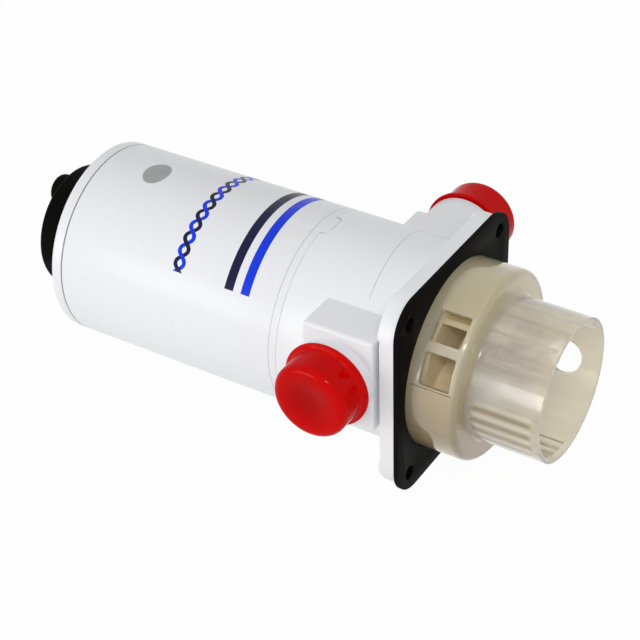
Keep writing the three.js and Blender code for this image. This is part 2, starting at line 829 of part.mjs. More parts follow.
for (const [name, side] of brushSides) {
  const brush = block(brushWidth, brushLength, brushHeight, [0, brushInnerY + brushLength / 2, 0]);
  const brushMesh = place(motor, `brush_${name}`, brush, carbon);
  const springMesh = place(motor, `brush_spring_${name}`, brushSpring(), zincSteel);
  brushMesh.position.x = brushMiddle;
  springMesh.position.set(brushMiddle, side * springStartY, 0);
  if (side < 0) {
    brushMesh.rotation.x = Math.PI;
    springMesh.rotation.x = Math.PI;
  }
}

// Slinger: throws leaked water off the shaft before it reaches the motor
place(rotor, 'slinger', tube(slingerEnd - slingerThickness, slingerEnd, rotorBore, slingerRadius, smallSides),
  blackRubber);

// Lip seals, one on each side of the rinse pump
const rearSealEnd = chamberRear - sealLedge;
place(pump, 'rear_shaft_seal', tube(rearSealEnd - sealLength, rearSealEnd, rotorBore, sealRadius, smallSides),
  blackRubber);
place(pump, 'front_shaft_seal', tube(spigotBack - fitGap - frontSealLength, spigotBack - fitGap, rotorBore,
  sealRadius, smallSides), blackRubber);

// Pump housing: one white moulding, cored from the rear round the pump chamber
function portRod(port, radius, start, end, sides) {
  return new THREE.CylinderGeometry(radius, radius, end - start, sides)
    .translate(port.x, (port.side * (start + end)) / 2, port.z);
}

function pumpHousing() {
  const chamberWall = chamberRadius + housingWall;
  const hollowFront = wearPlateBack - housingWall;
  const earPlate = prismX(roundedSquare(flangeSide, flangeCorner), earBack, flangeBack + cutPast);
  const earRods = cornerCentres.map(([y, z]) =>
    rod(earBack - cutPast, flangeBack + cutPast, earRadius, smallSides).translate(0, y, z));
  const outside = join(
    rod(housingRear, flangeBack, bodyRadius, largeSides),
    prismX(roundedSquare(flangeSide, flangeCorner), flangeBack, gasketBack),
    common(earPlate, join(...earRods)),
    block(blockWidth, nearBlockFace + farBlockFace, blockTop - blockBottom,
      [blockX, (farBlockFace - nearBlockFace) / 2, (blockTop + blockBottom) / 2]),
    ...ports.map((port) => portRod(port, collarRadius, 0, port.collarEnd, mediumSides)),
    ...ports.map((port) => portRod(port, spigotRadius, 0, port.collarEnd + spigotLength, mediumSides)),
  );
  const cored = cut(outside,
    tube(housingRear - cutPast, hollowFront, chamberWall, bodyRadius - housingWall, largeSides),
    rod(housingRear - cutPast, floorRear, chamberWall + cutPast, mediumSides));
  const bosses = boltPlaces.map(([, side]) =>
    rod(housingRear, hollowFront + cutPast, boltBossRadius, smallSides).translate(0, 0, side * boltOffset));
  const filled = join(cored,
    ...bosses,
    ...ports.map((port) => portRod(port, portTubeRadius, hubRadius, bodyRadius, mediumSides)),
    rod(sealBossRear, chamberRear, sealBossRadius, smallSides));
  return cut(filled,
    rod(lipBack, gasketBack + cutPast, lipRadius + fitGap, largeSides),
    rod(wearPlateBack, lipBack + cutPast, plateBoreRadius, mediumSides),
    rod(chamberRear, wearPlateBack + cutPast, chamberRadius, mediumSides),
    rod(rearSealEnd, chamberRear + cutPast, rotorBore + fitGap, smallSides),
    rod(sealBossRear - cutPast, rearSealEnd, sealRadius + fitGap, smallSides),
    ...ports.map((port) =>
      portRod(port, portBoreRadius, hubRadius, port.collarEnd + spigotLength + cutPast, mediumSides)),
    ...boltPlaces.map(([, side]) =>
      rod(housingRear - cutPast, housingRear + boltReach + fitGap, boltRadius + fitGap, tinySides)
        .translate(0, 0, side * boltOffset)),
    ...cornerHoles(earBack, gasketBack),
    tabPrism(fitGap));
}
place(pump, 'pump_housing', pumpHousing(), whitePlastic);

// Cam that squeezes the vanes between outlet and inlet
place(pump, 'pump_cam', prismX(
  sector(camInner, camOuter, 90 - camHalfAngle, 90 + camHalfAngle, slotCount),
  chamberRear + fitGap, wearPlateBack - fitGap), brownBoard);

// Flexible impeller, its vanes at the length they have when bent against the housing
function flexibleImpeller() {
  const vane = block(impellerWidth, vaneThickness, impellerRadius - vaneTipRadius,
    [impellerMiddle, 0, (impellerRadius - vaneTipRadius) / 2]);
  const tip = rod(impellerRear, impellerRear + impellerWidth, vaneTipRadius, tinySides)
    .translate(0, 0, impellerRadius - vaneTipRadius);
  const vanes = [];
  for (let i = 0; i < vaneCount; i += 1) {
    const turn = (i * Math.PI * 2) / vaneCount + Math.PI / vaneCount;
    vanes.push(vane.clone().rotateX(turn), tip.clone().rotateX(turn));
  }
  const hub = rod(impellerRear, impellerRear + impellerWidth, hubRadius, smallSides);
  const keyway = block(impellerWidth + 2 * cutPast, keySide + 2 * fitGap, keySide + 2 * fitGap,
    [impellerMiddle, 0, shaftRadius]);
  const bore = rod(impellerRear - cutPast, impellerRear + impellerWidth + cutPast, rotorBore, smallSides);
  return cut(join(hub, ...vanes), bore, keyway);
}
place(rotor, 'flexible_impeller', flexibleImpeller(), blackRubber);
place(rotor, 'impeller_key', block(keyLength, keySide, keySide, [impellerMiddle, 0, shaftRadius]), steel);

// Wear plate and seal plate close the rinse pump, with a sealing ring round them
place(pump, 'wear_plate', tube(wearPlateBack, sealPlateBack, wearPlateHole, plateRadius, innerSides),
  brightSteel);

const grooveMiddle = sealPlateBack + sealPlateThickness / 2;
const grooveRadius = plateRadius - ringGrooveDepth;

function sealPlate() {
  const pocket = spigotBack - frontSealLength - 2 * fitGap;
  return turned([
    [sealPlateBack, wearPlateHole],
    [sealPlateBack, plateRadius],
    [grooveMiddle - ringGrooveWidth / 2, plateRadius],
    [grooveMiddle - ringGrooveWidth / 2, grooveRadius],
    [grooveMiddle + ringGrooveWidth / 2, grooveRadius],
    [grooveMiddle + ringGrooveWidth / 2, plateRadius],
    [spigotBack, plateRadius],
    [spigotBack, sealRadius + fitGap],
    [pocket, sealRadius + fitGap],
    [pocket, wearPlateHole],
  ], innerSides);
}
place(pump, 'seal_plate', sealPlate(), blackPlastic);

const ringMiddleRadius = grooveRadius + ringSection + fitGap / 2;
const sealingRing = new THREE.TorusGeometry(ringMiddleRadius, ringSection, ringSectionSides, innerSides)
  .rotateY(Math.PI / 2)
  .translate(grooveMiddle, 0, 0);
place(pump, 'body_o_ring', sealingRing, blackRubber);

// Gasket plate
function gasketPlate() {
  const plate = prismX(roundedSquare(flangeSide, gasketCorner), gasketBack, 0);
  const opening = rod(gasketBack - cutPast, cutPast, ringRadius + fitGap, largeSides);
  return cut(plate, opening, ...cornerHoles(gasketBack, 0));
}
place(pump, 'flange_gasket', gasketPlate(), blackRubber);

// Port caps: red push-on caps over the spigots
function portCap(port) {
  const inner = spigotRadius + fitGap;
  const outer = inner + capWall;
  const rimStart = port.collarEnd + capStandOff;
  const rimEnd = rimStart + capRimThickness;
  const end = capEndY(port);
  const endInner = end - capEndWall;
  const flare = edgeArc(rimEnd + capFlare, outer + capFlare, capFlare, 180, 270);
  const section = [
    [rimStart, inner],
    [endInner, inner],
    [endInner, 0],
    [end, 0],
    ...edgeArc(end - capEdge, outer - capEdge, capEdge, 0, 90),
    ...flare.reverse(),
    [rimEnd, capRimRadius],
    [rimStart, capRimRadius],
  ];
  return turned(section, mediumSides).rotateZ(Math.PI / 2);
}

for (const port of ports) {
  const cap = place(pump, `port_cap_${port.name}`, portCap(port), redPlastic);
  cap.position.set(port.x, 0, port.z);
  if (port.side < 0) cap.rotation.x = Math.PI;
}

// Four screws hold the chopper plate on the ledge behind the cup
const plateScrewTurns = Array.from({ length: plateScrewCount }, (_, i) =>
  plateScrewFirstAngle + (360 * i) / plateScrewCount);

function plateScrewHoles(start, end) {
  return plateScrewTurns.map((angle) => {
    const [y, z] = ringPoint(plateScrewOffset, angle);
    return rod(start - cutPast, end + cutPast, plateScrewRadius + fitGap, tinySides).translate(0, y, z);
  });
}

// Macerator housing: lip, ring and open cup in one clear moulding
function maceratorHousing() {
  const spigotOuter = plateBoreRadius - fitGap;
  const spigotInner = spigotOuter - rearSpigotWall;
  const shell = turned([
    [spigotBack, spigotInner],
    [spigotBack, spigotOuter],
    [lipBack, spigotOuter],
    [lipBack, lipRadius],
    [gasketBack, lipRadius],
    [gasketBack, ringRadius],
    ...edgeArc(ringLength - ringEdge, ringRadius - ringEdge, ringEdge, 90, 0),
    ...edgeArc(ringLength + rootFillet, cupRadius + rootFillet, rootFillet, 180, 270),
    [cupEnd, cupRadius],
    [cupEnd, cupInner],
    [ringLength, cupInner],
    [ringLength, seatRadius],
    [wheelFrontWall, seatRadius],
    [wheelFrontWall, ringRadius - ringWall],
    [lipBack + rearWall, ringRadius - ringWall],
    [lipBack + rearWall, spigotInner],
  ], largeSides);
  const ribs = [];
  for (let i = 0; i < ribCount; i += 1) {
    const [y, z] = ringPoint(cupInner, ribFirstAngle + i * ribPitchAngle);
    ribs.push(rod(chopperEnd + ribStandOff, cupEnd - mouthBand, ribRadius, hexSides).translate(0, y, z));
  }
  const windowEnd = ringLength - ringEdge - windowMargin;
  const windows = windowAngles.map(([from, to]) =>
    prismX(sector(cupInner, ringRadius + cutPast, from, to, edgeSteps), windowStart, windowEnd));
  const discharge = new THREE.CylinderGeometry(dischargeRadius, dischargeRadius, cupRadius, smallSides)
    .translate(0, cupRadius, 0)
    .rotateX(THREE.MathUtils.degToRad(dischargeAngle))
    .translate(cupEnd - dischargeFromMouth, 0, 0);
  return cut(join(shell, ...ribs), ...windows, discharge, ...plateScrewHoles(wheelFrontWall, ringLength));
}
place(macerator, 'macerator_housing', maceratorHousing(), amberPlastic);

// Discharge wheel inside the ring
function dischargeWheel() {
  const hubStart = wheelStart - wheelHubBack;
  const vaneStart = wheelStart + wheelThickness;
  const vane = [];
  const back = [];
  for (let i = 0; i <= vaneSteps; i += 1) {
    const share = i / vaneSteps;
    const radius = hubRadius - cutPast + share * (wheelRadius - hubRadius);
    const half = THREE.MathUtils.radToDeg(wheelVaneThickness / 2 / radius);
    vane.push(ringPoint(radius, share * wheelVaneSweep - half));
    back.unshift(ringPoint(radius, share * wheelVaneSweep + half));
  }
  const vaneBody = prismX(outline([...vane, ...back]), vaneStart - cutPast, wheelEnd);
  const vanes = [];
  for (let i = 0; i < wheelVaneCount; i += 1) {
    vanes.push(vaneBody.clone().rotateX((i * Math.PI * 2) / wheelVaneCount));
  }
  const body = join(
    rod(wheelStart, vaneStart, wheelRadius, innerSides),
    rod(hubStart, wheelEnd, hubRadius, smallSides),
    ...vanes);
  const pinHole = new THREE.CylinderGeometry(pinRadius + fitGap, pinRadius + fitGap, 2 * hubRadius + cutPast,
    tinySides).rotateX(Math.PI / 2).translate(pinX, 0, 0);
  return cut(body, rod(hubStart - cutPast, wheelEnd + cutPast, rotorBore, smallSides), pinHole);
}
place(rotor, 'centrifugal_impeller', dischargeWheel(), tanPlastic);

const drivePin = new THREE.CylinderGeometry(pinRadius, pinRadius, pinLength, tinySides)
  .rotateX(Math.PI / 2)
  .translate(pinX, 0, 0);
place(rotor, 'impeller_pin', drivePin, brightSteel);

// Chopper plate: a perforated steel disc screwed to the ledge behind the cup
const chopperRadius = cupInner - fitGap;

function chopperPlate() {
  const holes = Array.from({ length: chopperHoleCount }, (_, i) => {
    const [y, z] = ringPoint(chopperHoleOffset, (360 * i) / chopperHoleCount);
    return rod(ringLength - cutPast, chopperEnd + cutPast, chopperHoleRadius, tinySides).translate(0, y, z);
  });
  const disc = tube(ringLength, chopperEnd, wearPlateHole, chopperRadius, innerSides);
  return cut(disc, ...holes, ...plateScrewHoles(ringLength, chopperEnd));
}
place(macerator, 'chopper_plate', chopperPlate(), brightSteel);

plateScrewTurns.forEach((angle, i) => {
  const screw = turned([
    [chopperEnd - plateScrewLength, 0],
    [chopperEnd - plateScrewLength, plateScrewRadius],
    [chopperEnd, plateScrewRadius],
    [chopperEnd, plateScrewHeadRadius],
    [chopperEnd + plateScrewHeadHeight, plateScrewHeadRadius],
    [chopperEnd + plateScrewHeadHeight, 0],
  ], tinySides);
  const [y, z] = ringPoint(plateScrewOffset, angle);
  place(macerator, `plate_screw_${i + 1}`, screw, brightSteel).position.set(0, y, z);
});

// Chopper blade, washer and nut on the front end of the shaft
function chopperBlade() {
  const end = bladeStart + bladeThickness;
  const half = bladeTipWidth / 2;
  const arms = outline([
    [bladeRadius, -half], [bladeRadius, half], [0, bladeHubRadius],
    [-bladeRadius, half], [-bladeRadius, -half], [0, -bladeHubRadius],
  ]);
  const body = join(prismX(arms, bladeStart, end), rod(bladeStart, end, bladeHubRadius, smallSides));
  return cut(body, rod(bladeStart - cutPast, end + cutPast, threadRadius + fitGap, smallSides));
}
place(rotor, 'chopper_blade', chopperBlade(), brightSteel);
place(rotor, 'lock_washer', tube(bladeStart + bladeThickness, nutStart, threadRadius + fitGap, washerRadius,
  smallSides), zincSteel);

const nut = cut(rod(nutStart, nutStart + nutHeight, nutRadius, hexSides),
  rod(nutStart - cutPast, nutStart + nutHeight + cutPast, threadRadius + fitGap, smallSides));
place(rotor, 'blade_nut', nut, zincSteel);

export default unit;
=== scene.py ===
from math import atan2, cos, degrees, pi, radians, sin

import bmesh
import bpy
from mathutils import Matrix, Vector


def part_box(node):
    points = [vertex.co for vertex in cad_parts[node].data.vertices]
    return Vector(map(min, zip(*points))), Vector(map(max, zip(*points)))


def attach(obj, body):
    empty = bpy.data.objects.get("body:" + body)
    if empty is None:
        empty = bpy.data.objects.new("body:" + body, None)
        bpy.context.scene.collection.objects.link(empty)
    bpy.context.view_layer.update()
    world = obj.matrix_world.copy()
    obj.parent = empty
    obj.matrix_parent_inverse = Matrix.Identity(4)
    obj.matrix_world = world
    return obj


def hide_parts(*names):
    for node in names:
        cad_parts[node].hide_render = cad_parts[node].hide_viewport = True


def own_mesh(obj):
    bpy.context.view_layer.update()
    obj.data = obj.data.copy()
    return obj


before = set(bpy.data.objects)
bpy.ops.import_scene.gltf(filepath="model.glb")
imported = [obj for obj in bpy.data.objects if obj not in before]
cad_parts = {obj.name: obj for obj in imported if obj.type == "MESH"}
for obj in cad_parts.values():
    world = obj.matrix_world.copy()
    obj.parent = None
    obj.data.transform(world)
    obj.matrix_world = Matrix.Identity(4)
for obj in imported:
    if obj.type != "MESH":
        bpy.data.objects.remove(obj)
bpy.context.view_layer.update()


# The view. A long lens looks down on the unit from the side of its near port, as in the photograph.
# Turn, height, roll, distance and aim were fitted to edges of the flange, the sleeve and the ports.
mm = 0.001
view_turn = radians(32.904)
view_height = radians(36.294)
view_roll = radians(-1.918)
view_distance = 716.7 * mm
view_aim = Vector((23.39, -27.91, 57.53)) * mm
lens_length = 100.38

view = (Matrix.Rotation(view_turn, 3, "Z") @ Matrix.Rotation(pi / 2 - view_height, 3, "X")
        @ Matrix.Rotation(view_roll, 3, "Z"))
bpy.ops.object.select_all(action="DESELECT")
bpy.ops.object.camera_add(location=view_aim + view @ Vector((0, 0, view_distance)),
                          rotation=view.to_euler())
camera = bpy.context.object
camera.data.lens = lens_length
bpy.context.scene.camera = camera


# The studio: a white sweep that shows as white to the camera and in reflections, and soft lamps.
# The floor keeps part of the unit's shadow, so the unit stands on it.
def feed(entry, value):
    """Link a wire to a socket, or set the socket's own value."""
    if isinstance(value, Wire):
        entry.id_data.links.new(value.socket, entry)
    else:
        entry.default_value = value


class Wire:
    """An output of a node. Sums, products and powers of wires add Math nodes to the same tree."""

    def __init__(self, socket):
        self.socket = socket

    def maths(self, operation, *values):
        node = self.socket.id_data.nodes.new("ShaderNodeMath")
        node.operation = operation
        for entry, value in zip(node.inputs, values):
            feed(entry, value)
        return Wire(node.outputs[0])

    def __add__(self, other):
        return self.maths("ADD", self, other)

    __radd__ = __add__

    def __sub__(self, other):
        return self.maths("SUBTRACT", self, other)

    def __rsub__(self, other):
        return self.maths("SUBTRACT", other, self)

    def __mul__(self, other):
        return self.maths("MULTIPLY", self, other)

    __rmul__ = __mul__

    def __truediv__(self, other):
        return self.maths("DIVIDE", self, other)

    def __pow__(self, other):
        return self.maths("POWER", self, other)

    def __abs__(self):
        return self.maths("ABSOLUTE", self)

    def __gt__(self, other):
        return self.maths("GREATER_THAN", self, other)

    def __lt__(self, other):
        return self.maths("LESS_THAN", self, other)

    def sine(self):
        return self.maths("SINE", self)

    def angle_to(self, other):
        """The angle of the point (self, other), counted from the first axis to the second."""
        return self.maths("ARCTAN2", other, self)

    def between(self, low, high):
        """One where the value lies between two limits, and zero elsewhere."""
        return (self > low) * (self < high)

    def limited(self, low=0, high=1):
        return self.maths("MINIMUM", self.maths("MAXIMUM", self, low), high)

    def ramp(self, start, slope):
        """Zero at the start, and one where the slope has taken it there."""
        return ((self - start) * slope).limited()

    def band(self, low, high, slope):
        """One between two limits, falling softly to zero at each."""
        return self.ramp(low, slope) * self.ramp(high, -slope)


def paint(red, green, blue):
    """A colour as a paint card gives it, from 0 to 255, as Blender's linear colour."""
    shares = [value / 255 for value in (red, green, blue)]
    return tuple(v / 12.92 if v <= 0.04045 else ((v + 0.055) / 1.055) ** 2.4 for v in shares) + (1,)


class Finish:
    """The nodes of a material or of the world. node() adds any one of them."""

    def __init__(self, owner):
        self.owner = owner
        owner.use_nodes = True
        self.tree = owner.node_tree
        self.tree.nodes.clear()

    def node(self, kind, settings=None, sockets=None, output=0):
        node = self.tree.nodes.new("ShaderNode" + kind)
        for name, value in (settings or {}).items():
            setattr(node, name, value)
        for name, value in (sockets or {}).items():
            feed(node.inputs[name], value)
        return Wire(node.outputs[output]) if node.outputs else node

    def mix(self, share, first, second):
        """Two colours mixed: the first where the share is 0, the second where it is 1."""
        return self.node("Mix", {"data_type": "RGBA"}, {0: share, 6: first, 7: second}, 2)

    def place(self):
        """The place on the piece in the unit's own frame."""
        return self.node("TexCoord", output="Object")

    def parts(self, vector):
        split = self.node("SeparateXYZ", sockets={0: vector}).socket.node
        return [Wire(output) for output in split.outputs]

    def noise(self, scale, detail=2, stretch=(1, 1, 1)):
        """Soft random patches, as many to the metre as the scale says."""
        place = self.node("Mapping", sockets={"Vector": self.place(), "Scale": stretch})
        return self.node("TexNoise", sockets={"Vector": place, "Scale": scale, "Detail": detail})

    def bump(self, height, depth):
        """A relief of the given depth in metres."""
        return self.node("Bump", sockets={"Height": height, "Strength": 1, "Distance": depth})

    def surface(self, sockets):
        shader = self.node("BsdfPrincipled", sockets=sockets)
        self.node("OutputMaterial", sockets={"Surface": shader})
        return self.owner


def seen_rays(finish):
    """One for rays that show the background: straight, in a reflection or through a clear piece."""
    kinds = [finish.node("LightPath", output=name)
             for name in ("Is Camera Ray", "Is Glossy Ray", "Is Transmission Ray")]
    return (kinds[0] + kinds[1] + kinds[2]).limited()


world_light = 0.56  # what the white surroundings give to the surfaces
world = Finish(bpy.data.worlds.new("studio_surroundings"))
shown = seen_rays(world)
world.node("OutputWorld", sockets={"Surface": world.node("Background", sockets={
    "Color": (1, 1, 1, 1), "Strength": shown + (1 - shown) * world_light})})
bpy.context.scene.world = world.owner

floor_size = 8
floor_white = 0.97  # share of the floor that shows as plain white
floor_drop = 0.1 * mm
bpy.ops.object.select_all(action="DESELECT")
bpy.ops.mesh.primitive_plane_add(size=floor_size, location=(0, 0, -floor_drop))
floor = bpy.context.object
floor.name = "studio_floor"
sweep = Finish(bpy.data.materials.new("studio_floor"))
matte = sweep.node("BsdfDiffuse", sockets={"Color": paint(240, 240, 240)})
white = sweep.node("Emission", sockets={"Color": (1, 1, 1, 1), "Strength": 1})
sweep.node("OutputMaterial", sockets={"Surface": sweep.node("MixShader", sockets={
    0: seen_rays(sweep) * floor_white, 1: matte, 2: white})})
floor.data.materials.append(sweep.owner)

# name, place and aim in metres, width and height in metres, power in watts
lamps = [
    ("window_lamp", (-0.52, -1.06, 0.17), (0, 0, 0.05), 0.7, 0.55, 4.9),
    ("view_lamp", (0.42, -0.60, 0.72), (0.03, 0, 0.05), 0.30, 0.05, 2.0),
]
for name, spot, aim, width, height, power in lamps:
    towards = (Vector(aim) - Vector(spot)).to_track_quat("-Z", "Y")
    bpy.ops.object.light_add(type="AREA", location=spot, rotation=towards.to_euler())
    lamp = bpy.context.object
    lamp.name = name
    lamp.data.shape = "RECTANGLE"
    lamp.data.size = width
    lamp.data.size_y = height
    lamp.data.energy = power
bpy.context.scene.view_settings.view_transform = "Standard"


# Motor sleeve: a glossy white extruded tube over the motor, with a keyed tab at its front edge.
# Two plain stripes and a twisted line of two strands are printed on it, and an oval foil is stuck on.
near = 0.01 * mm  # two places nearer than this are one
fit = 0.3 * mm  # the gap between two pieces that fit together
overrun = 1 * mm  # how far a cut goes past a face
plate_low, plate_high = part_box("flange_gasket")
front = Vector((plate_high.x, (plate_low.y + plate_high.y) / 2, (plate_low.z + plate_high.z) / 2))


def span(node):
    """Where a node starts and ends along the pump axis, counted from the gasket's front face."""
    low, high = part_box(node)
    return low.x - front.x, high.x - front.x


def half_height(node):
    low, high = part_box(node)
    return (high.z - low.z) / 2


def pick(kind, test):
    """Select the faces, edges or points in edit mode whose middle passes the test."""
    bpy.ops.mesh.select_mode(type=kind)
    bpy.ops.mesh.select_all(action="DESELECT")
    edited = bmesh.from_edit_mesh(bpy.context.object.data)
    for item in {"FACE": edited.faces, "EDGE": edited.edges, "VERT": edited.verts}[kind]:
        points = [item.co] if kind == "VERT" else [point.co for point in item.verts]
        if test(sum(points, Vector()) / len(points), item):
            item.select_set(True)
    bmesh.update_edit_mesh(bpy.context.object.data)


def ring_angle(point):
    """Degrees round the pump axis, counted from the far port's side over the top."""
    return degrees(atan2(point.z - front.z, point.y - front.y)) % 360


def ring_spot(radius, angle):
    return Vector((0, radius * cos(radians(angle)), radius * sin(radians(angle))))


class Turning:
    """A round piece in edit mode. Stations run along its axis, and radii are measured from it."""

    def __init__(self, name, start, end, radius, middle=front, along=Vector((1, 0, 0)), sides=128):
        self.middle = middle
        self.along = along
        bpy.ops.object.select_all(action="DESELECT")
        bpy.ops.mesh.primitive_cylinder_add(
            vertices=sides, radius=radius, depth=end - start,
            location=middle + along * (start + end) / 2,
            rotation=along.to_track_quat("Z", "Y").to_euler())
        self.piece = bpy.context.object
        self.piece.name = self.piece.data.name = name
        bpy.ops.object.transform_apply(location=True, rotation=True, scale=True)
        bpy.ops.object.mode_set(mode="EDIT")

    def station(self, point):
        return (point - self.middle).dot(self.along)

    def radius(self, point):
        away = point - self.middle
        return (away - self.along * away.dot(self.along)).length

    def disc(self, station):
        """Select the flat end at a station."""
        pick("FACE", lambda middle, face: abs(self.station(middle) - station) < near
             and self.radius(middle) < near)
        return self

    def rim(self, station, radius):
        """Select the round edge at a station and a radius."""
        pick("EDGE", lambda middle, edge: all(
            abs(self.station(point.co) - station) < near and abs(self.radius(point.co) - radius) < near
            for point in edge.verts))
        return self

    def inset(self, width):
        bpy.ops.mesh.inset(thickness=width)
        return self

    def push(self, distance):
        """Extrude the selected faces along the axis."""
        bpy.ops.mesh.extrude_region_move(TRANSFORM_OT_translate={"value": self.along * distance})
        return self

    def shift(self, distance):
        """Move the selected faces along the axis, so that the ring round them slopes."""
        bpy.ops.transform.translate(value=self.along * distance)
        return self

    def grow(self, share):
        """Extrude the selected end in its own plane, to a share of its radius."""
        self.push(0)
        scale = [1 + (share - 1) * (1 - abs(way)) for way in self.along]
        bpy.ops.transform.resize(value=scale, center_override=self.middle)
        return self

    def round_off(self, size, steps):
        bpy.ops.mesh.bevel(offset=size, segments=steps, affect="EDGES", clamp_overlap=False)
        return self

    def open_through(self, start, end):
        """Take out the flat ends at two stations and join their edges with a bore."""
        pick("FACE", lambda middle, face: self.radius(middle) < near
             and min(abs(self.station(middle) - place) for place in (start, end)) < near)
        bpy.ops.mesh.delete(type="FACE")
        bpy.ops.mesh.select_mode(type="EDGE")
        bpy.ops.mesh.select_non_manifold()
        bpy.ops.mesh.bridge_edge_loops()
        return self

    def done(self):
        bpy.ops.mesh.select_all(action="SELECT")
        bpy.ops.mesh.normals_make_consistent(inside=False)
        bpy.ops.object.mode_set(mode="OBJECT")
        return self.piece


def apply(piece, kind, **settings):
    """Add a modifier with its settings and apply it."""
    modifier = piece.modifiers.new(kind.lower(), kind)
    for name, value in settings.items():
        setattr(modifier, name, value)
    bpy.ops.object.select_all(action="DESELECT")
    bpy.context.view_layer.objects.active = piece
    piece.select_set(True)
    bpy.ops.object.modifier_apply(modifier=modifier.name)


def carve(piece, tool, operation="DIFFERENCE"):
    """Cut a tool out of a piece, join it on or keep what they share, and remove the tool."""
    apply(piece, "BOOLEAN", operation=operation, object=tool, solver="EXACT")
    bpy.data.objects.remove(tool)


def weld(piece):
    """Merge the points that a cut or a rounding leaves on top of each other."""
    apply(piece, "WELD", merge_threshold=1.5 * near)


def smooth(piece, corner=35):
    weld(piece)
    bpy.ops.object.select_all(action="DESELECT")
    bpy.context.view_layer.objects.active = piece
    piece.select_set(True)
    bpy.ops.object.shade_smooth_by_angle(angle=radians(corner), keep_sharp_edges=False)


def soften(piece, width=0.3 * mm, steps=3, corner=35):
    """Round every sharp edge a little, as a mould or a tumbled blank leaves it, and shade it smooth."""
    weld(piece)
    apply(piece, "BEVEL", width=width, segments=steps, limit_method="ANGLE", angle_limit=radians(corner),
          use_clamp_overlap=True, miter_outer="MITER_ARC")
    smooth(piece, corner)


def settle(piece, finish, slot, body, *nodes):
    """Give a piece its finish, its body and the nodes that it stands for."""
    piece.data.materials.clear()
    piece.data.materials.append(finish)
    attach(piece, body)
    if nodes:
        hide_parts(*nodes)


def round_places(finish):
    """Millimetres ahead of the gasket's face, and degrees from the top towards the near port."""
    along, side, up = finish.parts(finish.place())
    return (along - front.x) / mm, (up - front.z).angle_to(front.y - side) * (180 / pi)


def moulded(finish, colour, roughness, more=None, relief=0):
    """Glossy moulded plastic: faint clouding and a slightly uneven surface."""
    cloud = finish.noise(14, 2)
    tone = finish.mix(cloud, (0.985, 0.985, 0.985, 1), (1, 1, 1, 1))
    toned = finish.node("Mix", {"data_type": "RGBA", "blend_type": "MULTIPLY"},
                        {0: 1, 6: colour, 7: tone}, 2)
    return finish.surface({
        "Base Color": toned,
        "Roughness": roughness + (finish.noise(120, 2) - 0.5) * 0.04,
        "Normal": finish.bump(finish.noise(120, 1) * 0.01 + relief, 0.1 * mm),
    } | (more or {}))


sleeve_white = paint(238, 240, 243)
label_half_turn = 57.4
navy_stripe = (-86.0, -81.8)
blue_stripe = (-78.2, -74.0)
strand_middle = -109.2
strand_reach = 2.0
strand_half_width = 0.9
strand_cross = 48.4
strand_half_pitch = 7.59
foil_middle = (-141.6, 3.0)
foil_half_sizes = (5.6, 7.3)
scribed_line = -61.7

sleeve_rear = -166.5 * mm
tab_front = span("motor_sleeve")[1]
housing_rear = span("pump_housing")[0]
sleeve_radius = half_height("motor_sleeve")
sleeve_wall = 2.2 * mm
tab_half_width = 6.5 * mm
sleeve_edge = 0.2 * mm
seam_width = 0.28  # millimetres to each side of the seam that look grey
scribed_width = 0.12

printed = Finish(bpy.data.materials.new("printed_white_sleeve"))
station, turn = round_places(printed)
arc = sleeve_radius / mm * pi / 180  # millimetres of arc in a degree
navy, blue = paint(4, 0, 56), paint(0, 54, 226)
on_label = abs(turn) < label_half_turn
phase = (turn - strand_cross) * (pi / strand_half_pitch)
swing = phase.sine() * strand_reach
rise = (phase + pi / 2).sine()
lean = ((rise * (strand_reach * pi / strand_half_pitch / arc)) ** 2 + 1) ** 0.5
blue_strand = (abs(station - strand_middle - swing) / lean < strand_half_width) * on_label
navy_strand = (abs(station - strand_middle + swing) / lean < strand_half_width) * on_label
navy_below = printed.mix(blue_strand, printed.mix(navy_strand, sleeve_white, navy), blue)
blue_below = printed.mix(navy_strand, printed.mix(blue_strand, sleeve_white, blue), navy)
print_colour = printed.mix(rise > 0, blue_below, navy_below)
print_colour = printed.mix(station.between(*navy_stripe) * on_label, print_colour, navy)
print_colour = printed.mix(station.between(*blue_stripe) * on_label, print_colour, blue)
foil_spot = (((station - foil_middle[0]) / foil_half_sizes[0]) ** 2
             + ((turn - foil_middle[1]) * arc / foil_half_sizes[1]) ** 2)
on_foil = foil_spot < 1
foil_grey = printed.mix(printed.noise(300, 3, (0.3, 1, 1)), paint(150, 151, 152), paint(182, 183, 184))
print_colour = printed.mix(on_foil, print_colour, foil_grey)
scribed = abs(station - scribed_line) < scribed_width
print_colour = printed.mix(scribed, print_colour, paint(188, 190, 194))
seam_shade = abs(station - sleeve_rear / mm) < seam_width
print_colour = printed.mix(seam_shade, print_colour, paint(150, 151, 154))
printed_white = moulded(printed, print_colour, 0.28 + on_foil * 0.08, {"Specular IOR Level": 0.25},
                        on_foil * 0.5 - scribed)

sleeve = Turning("motor_sleeve_tube", sleeve_rear, housing_rear, sleeve_radius, sides=180)
for end in (sleeve_rear, housing_rear):
    sleeve.disc(end).inset(sleeve_wall)
sleeve.open_through(sleeve_rear, housing_rear)
tab_angle = degrees(tab_half_width / sleeve_radius)
pick("FACE", lambda middle, face: abs(sleeve.station(middle) - housing_rear) < near
     and abs(ring_angle(middle) - 90) < tab_angle)
sleeve.push(tab_front - housing_rear)
pick("EDGE", lambda middle, edge: abs(sleeve.station(middle) - tab_front) < near
     and len(edge.link_faces) == 2
     and abs(edge.link_faces[0].normal.dot(edge.link_faces[1].normal)) < 0.2
     and abs(edge.verts[0].co.x - edge.verts[1].co.x) < near
     and abs(sleeve.radius(edge.verts[0].co) - sleeve.radius(edge.verts[1].co)) > near)
sleeve.round_off(tab_front - housing_rear - near, 8)
motor_sleeve = sleeve.done()
soften(motor_sleeve, sleeve_edge)
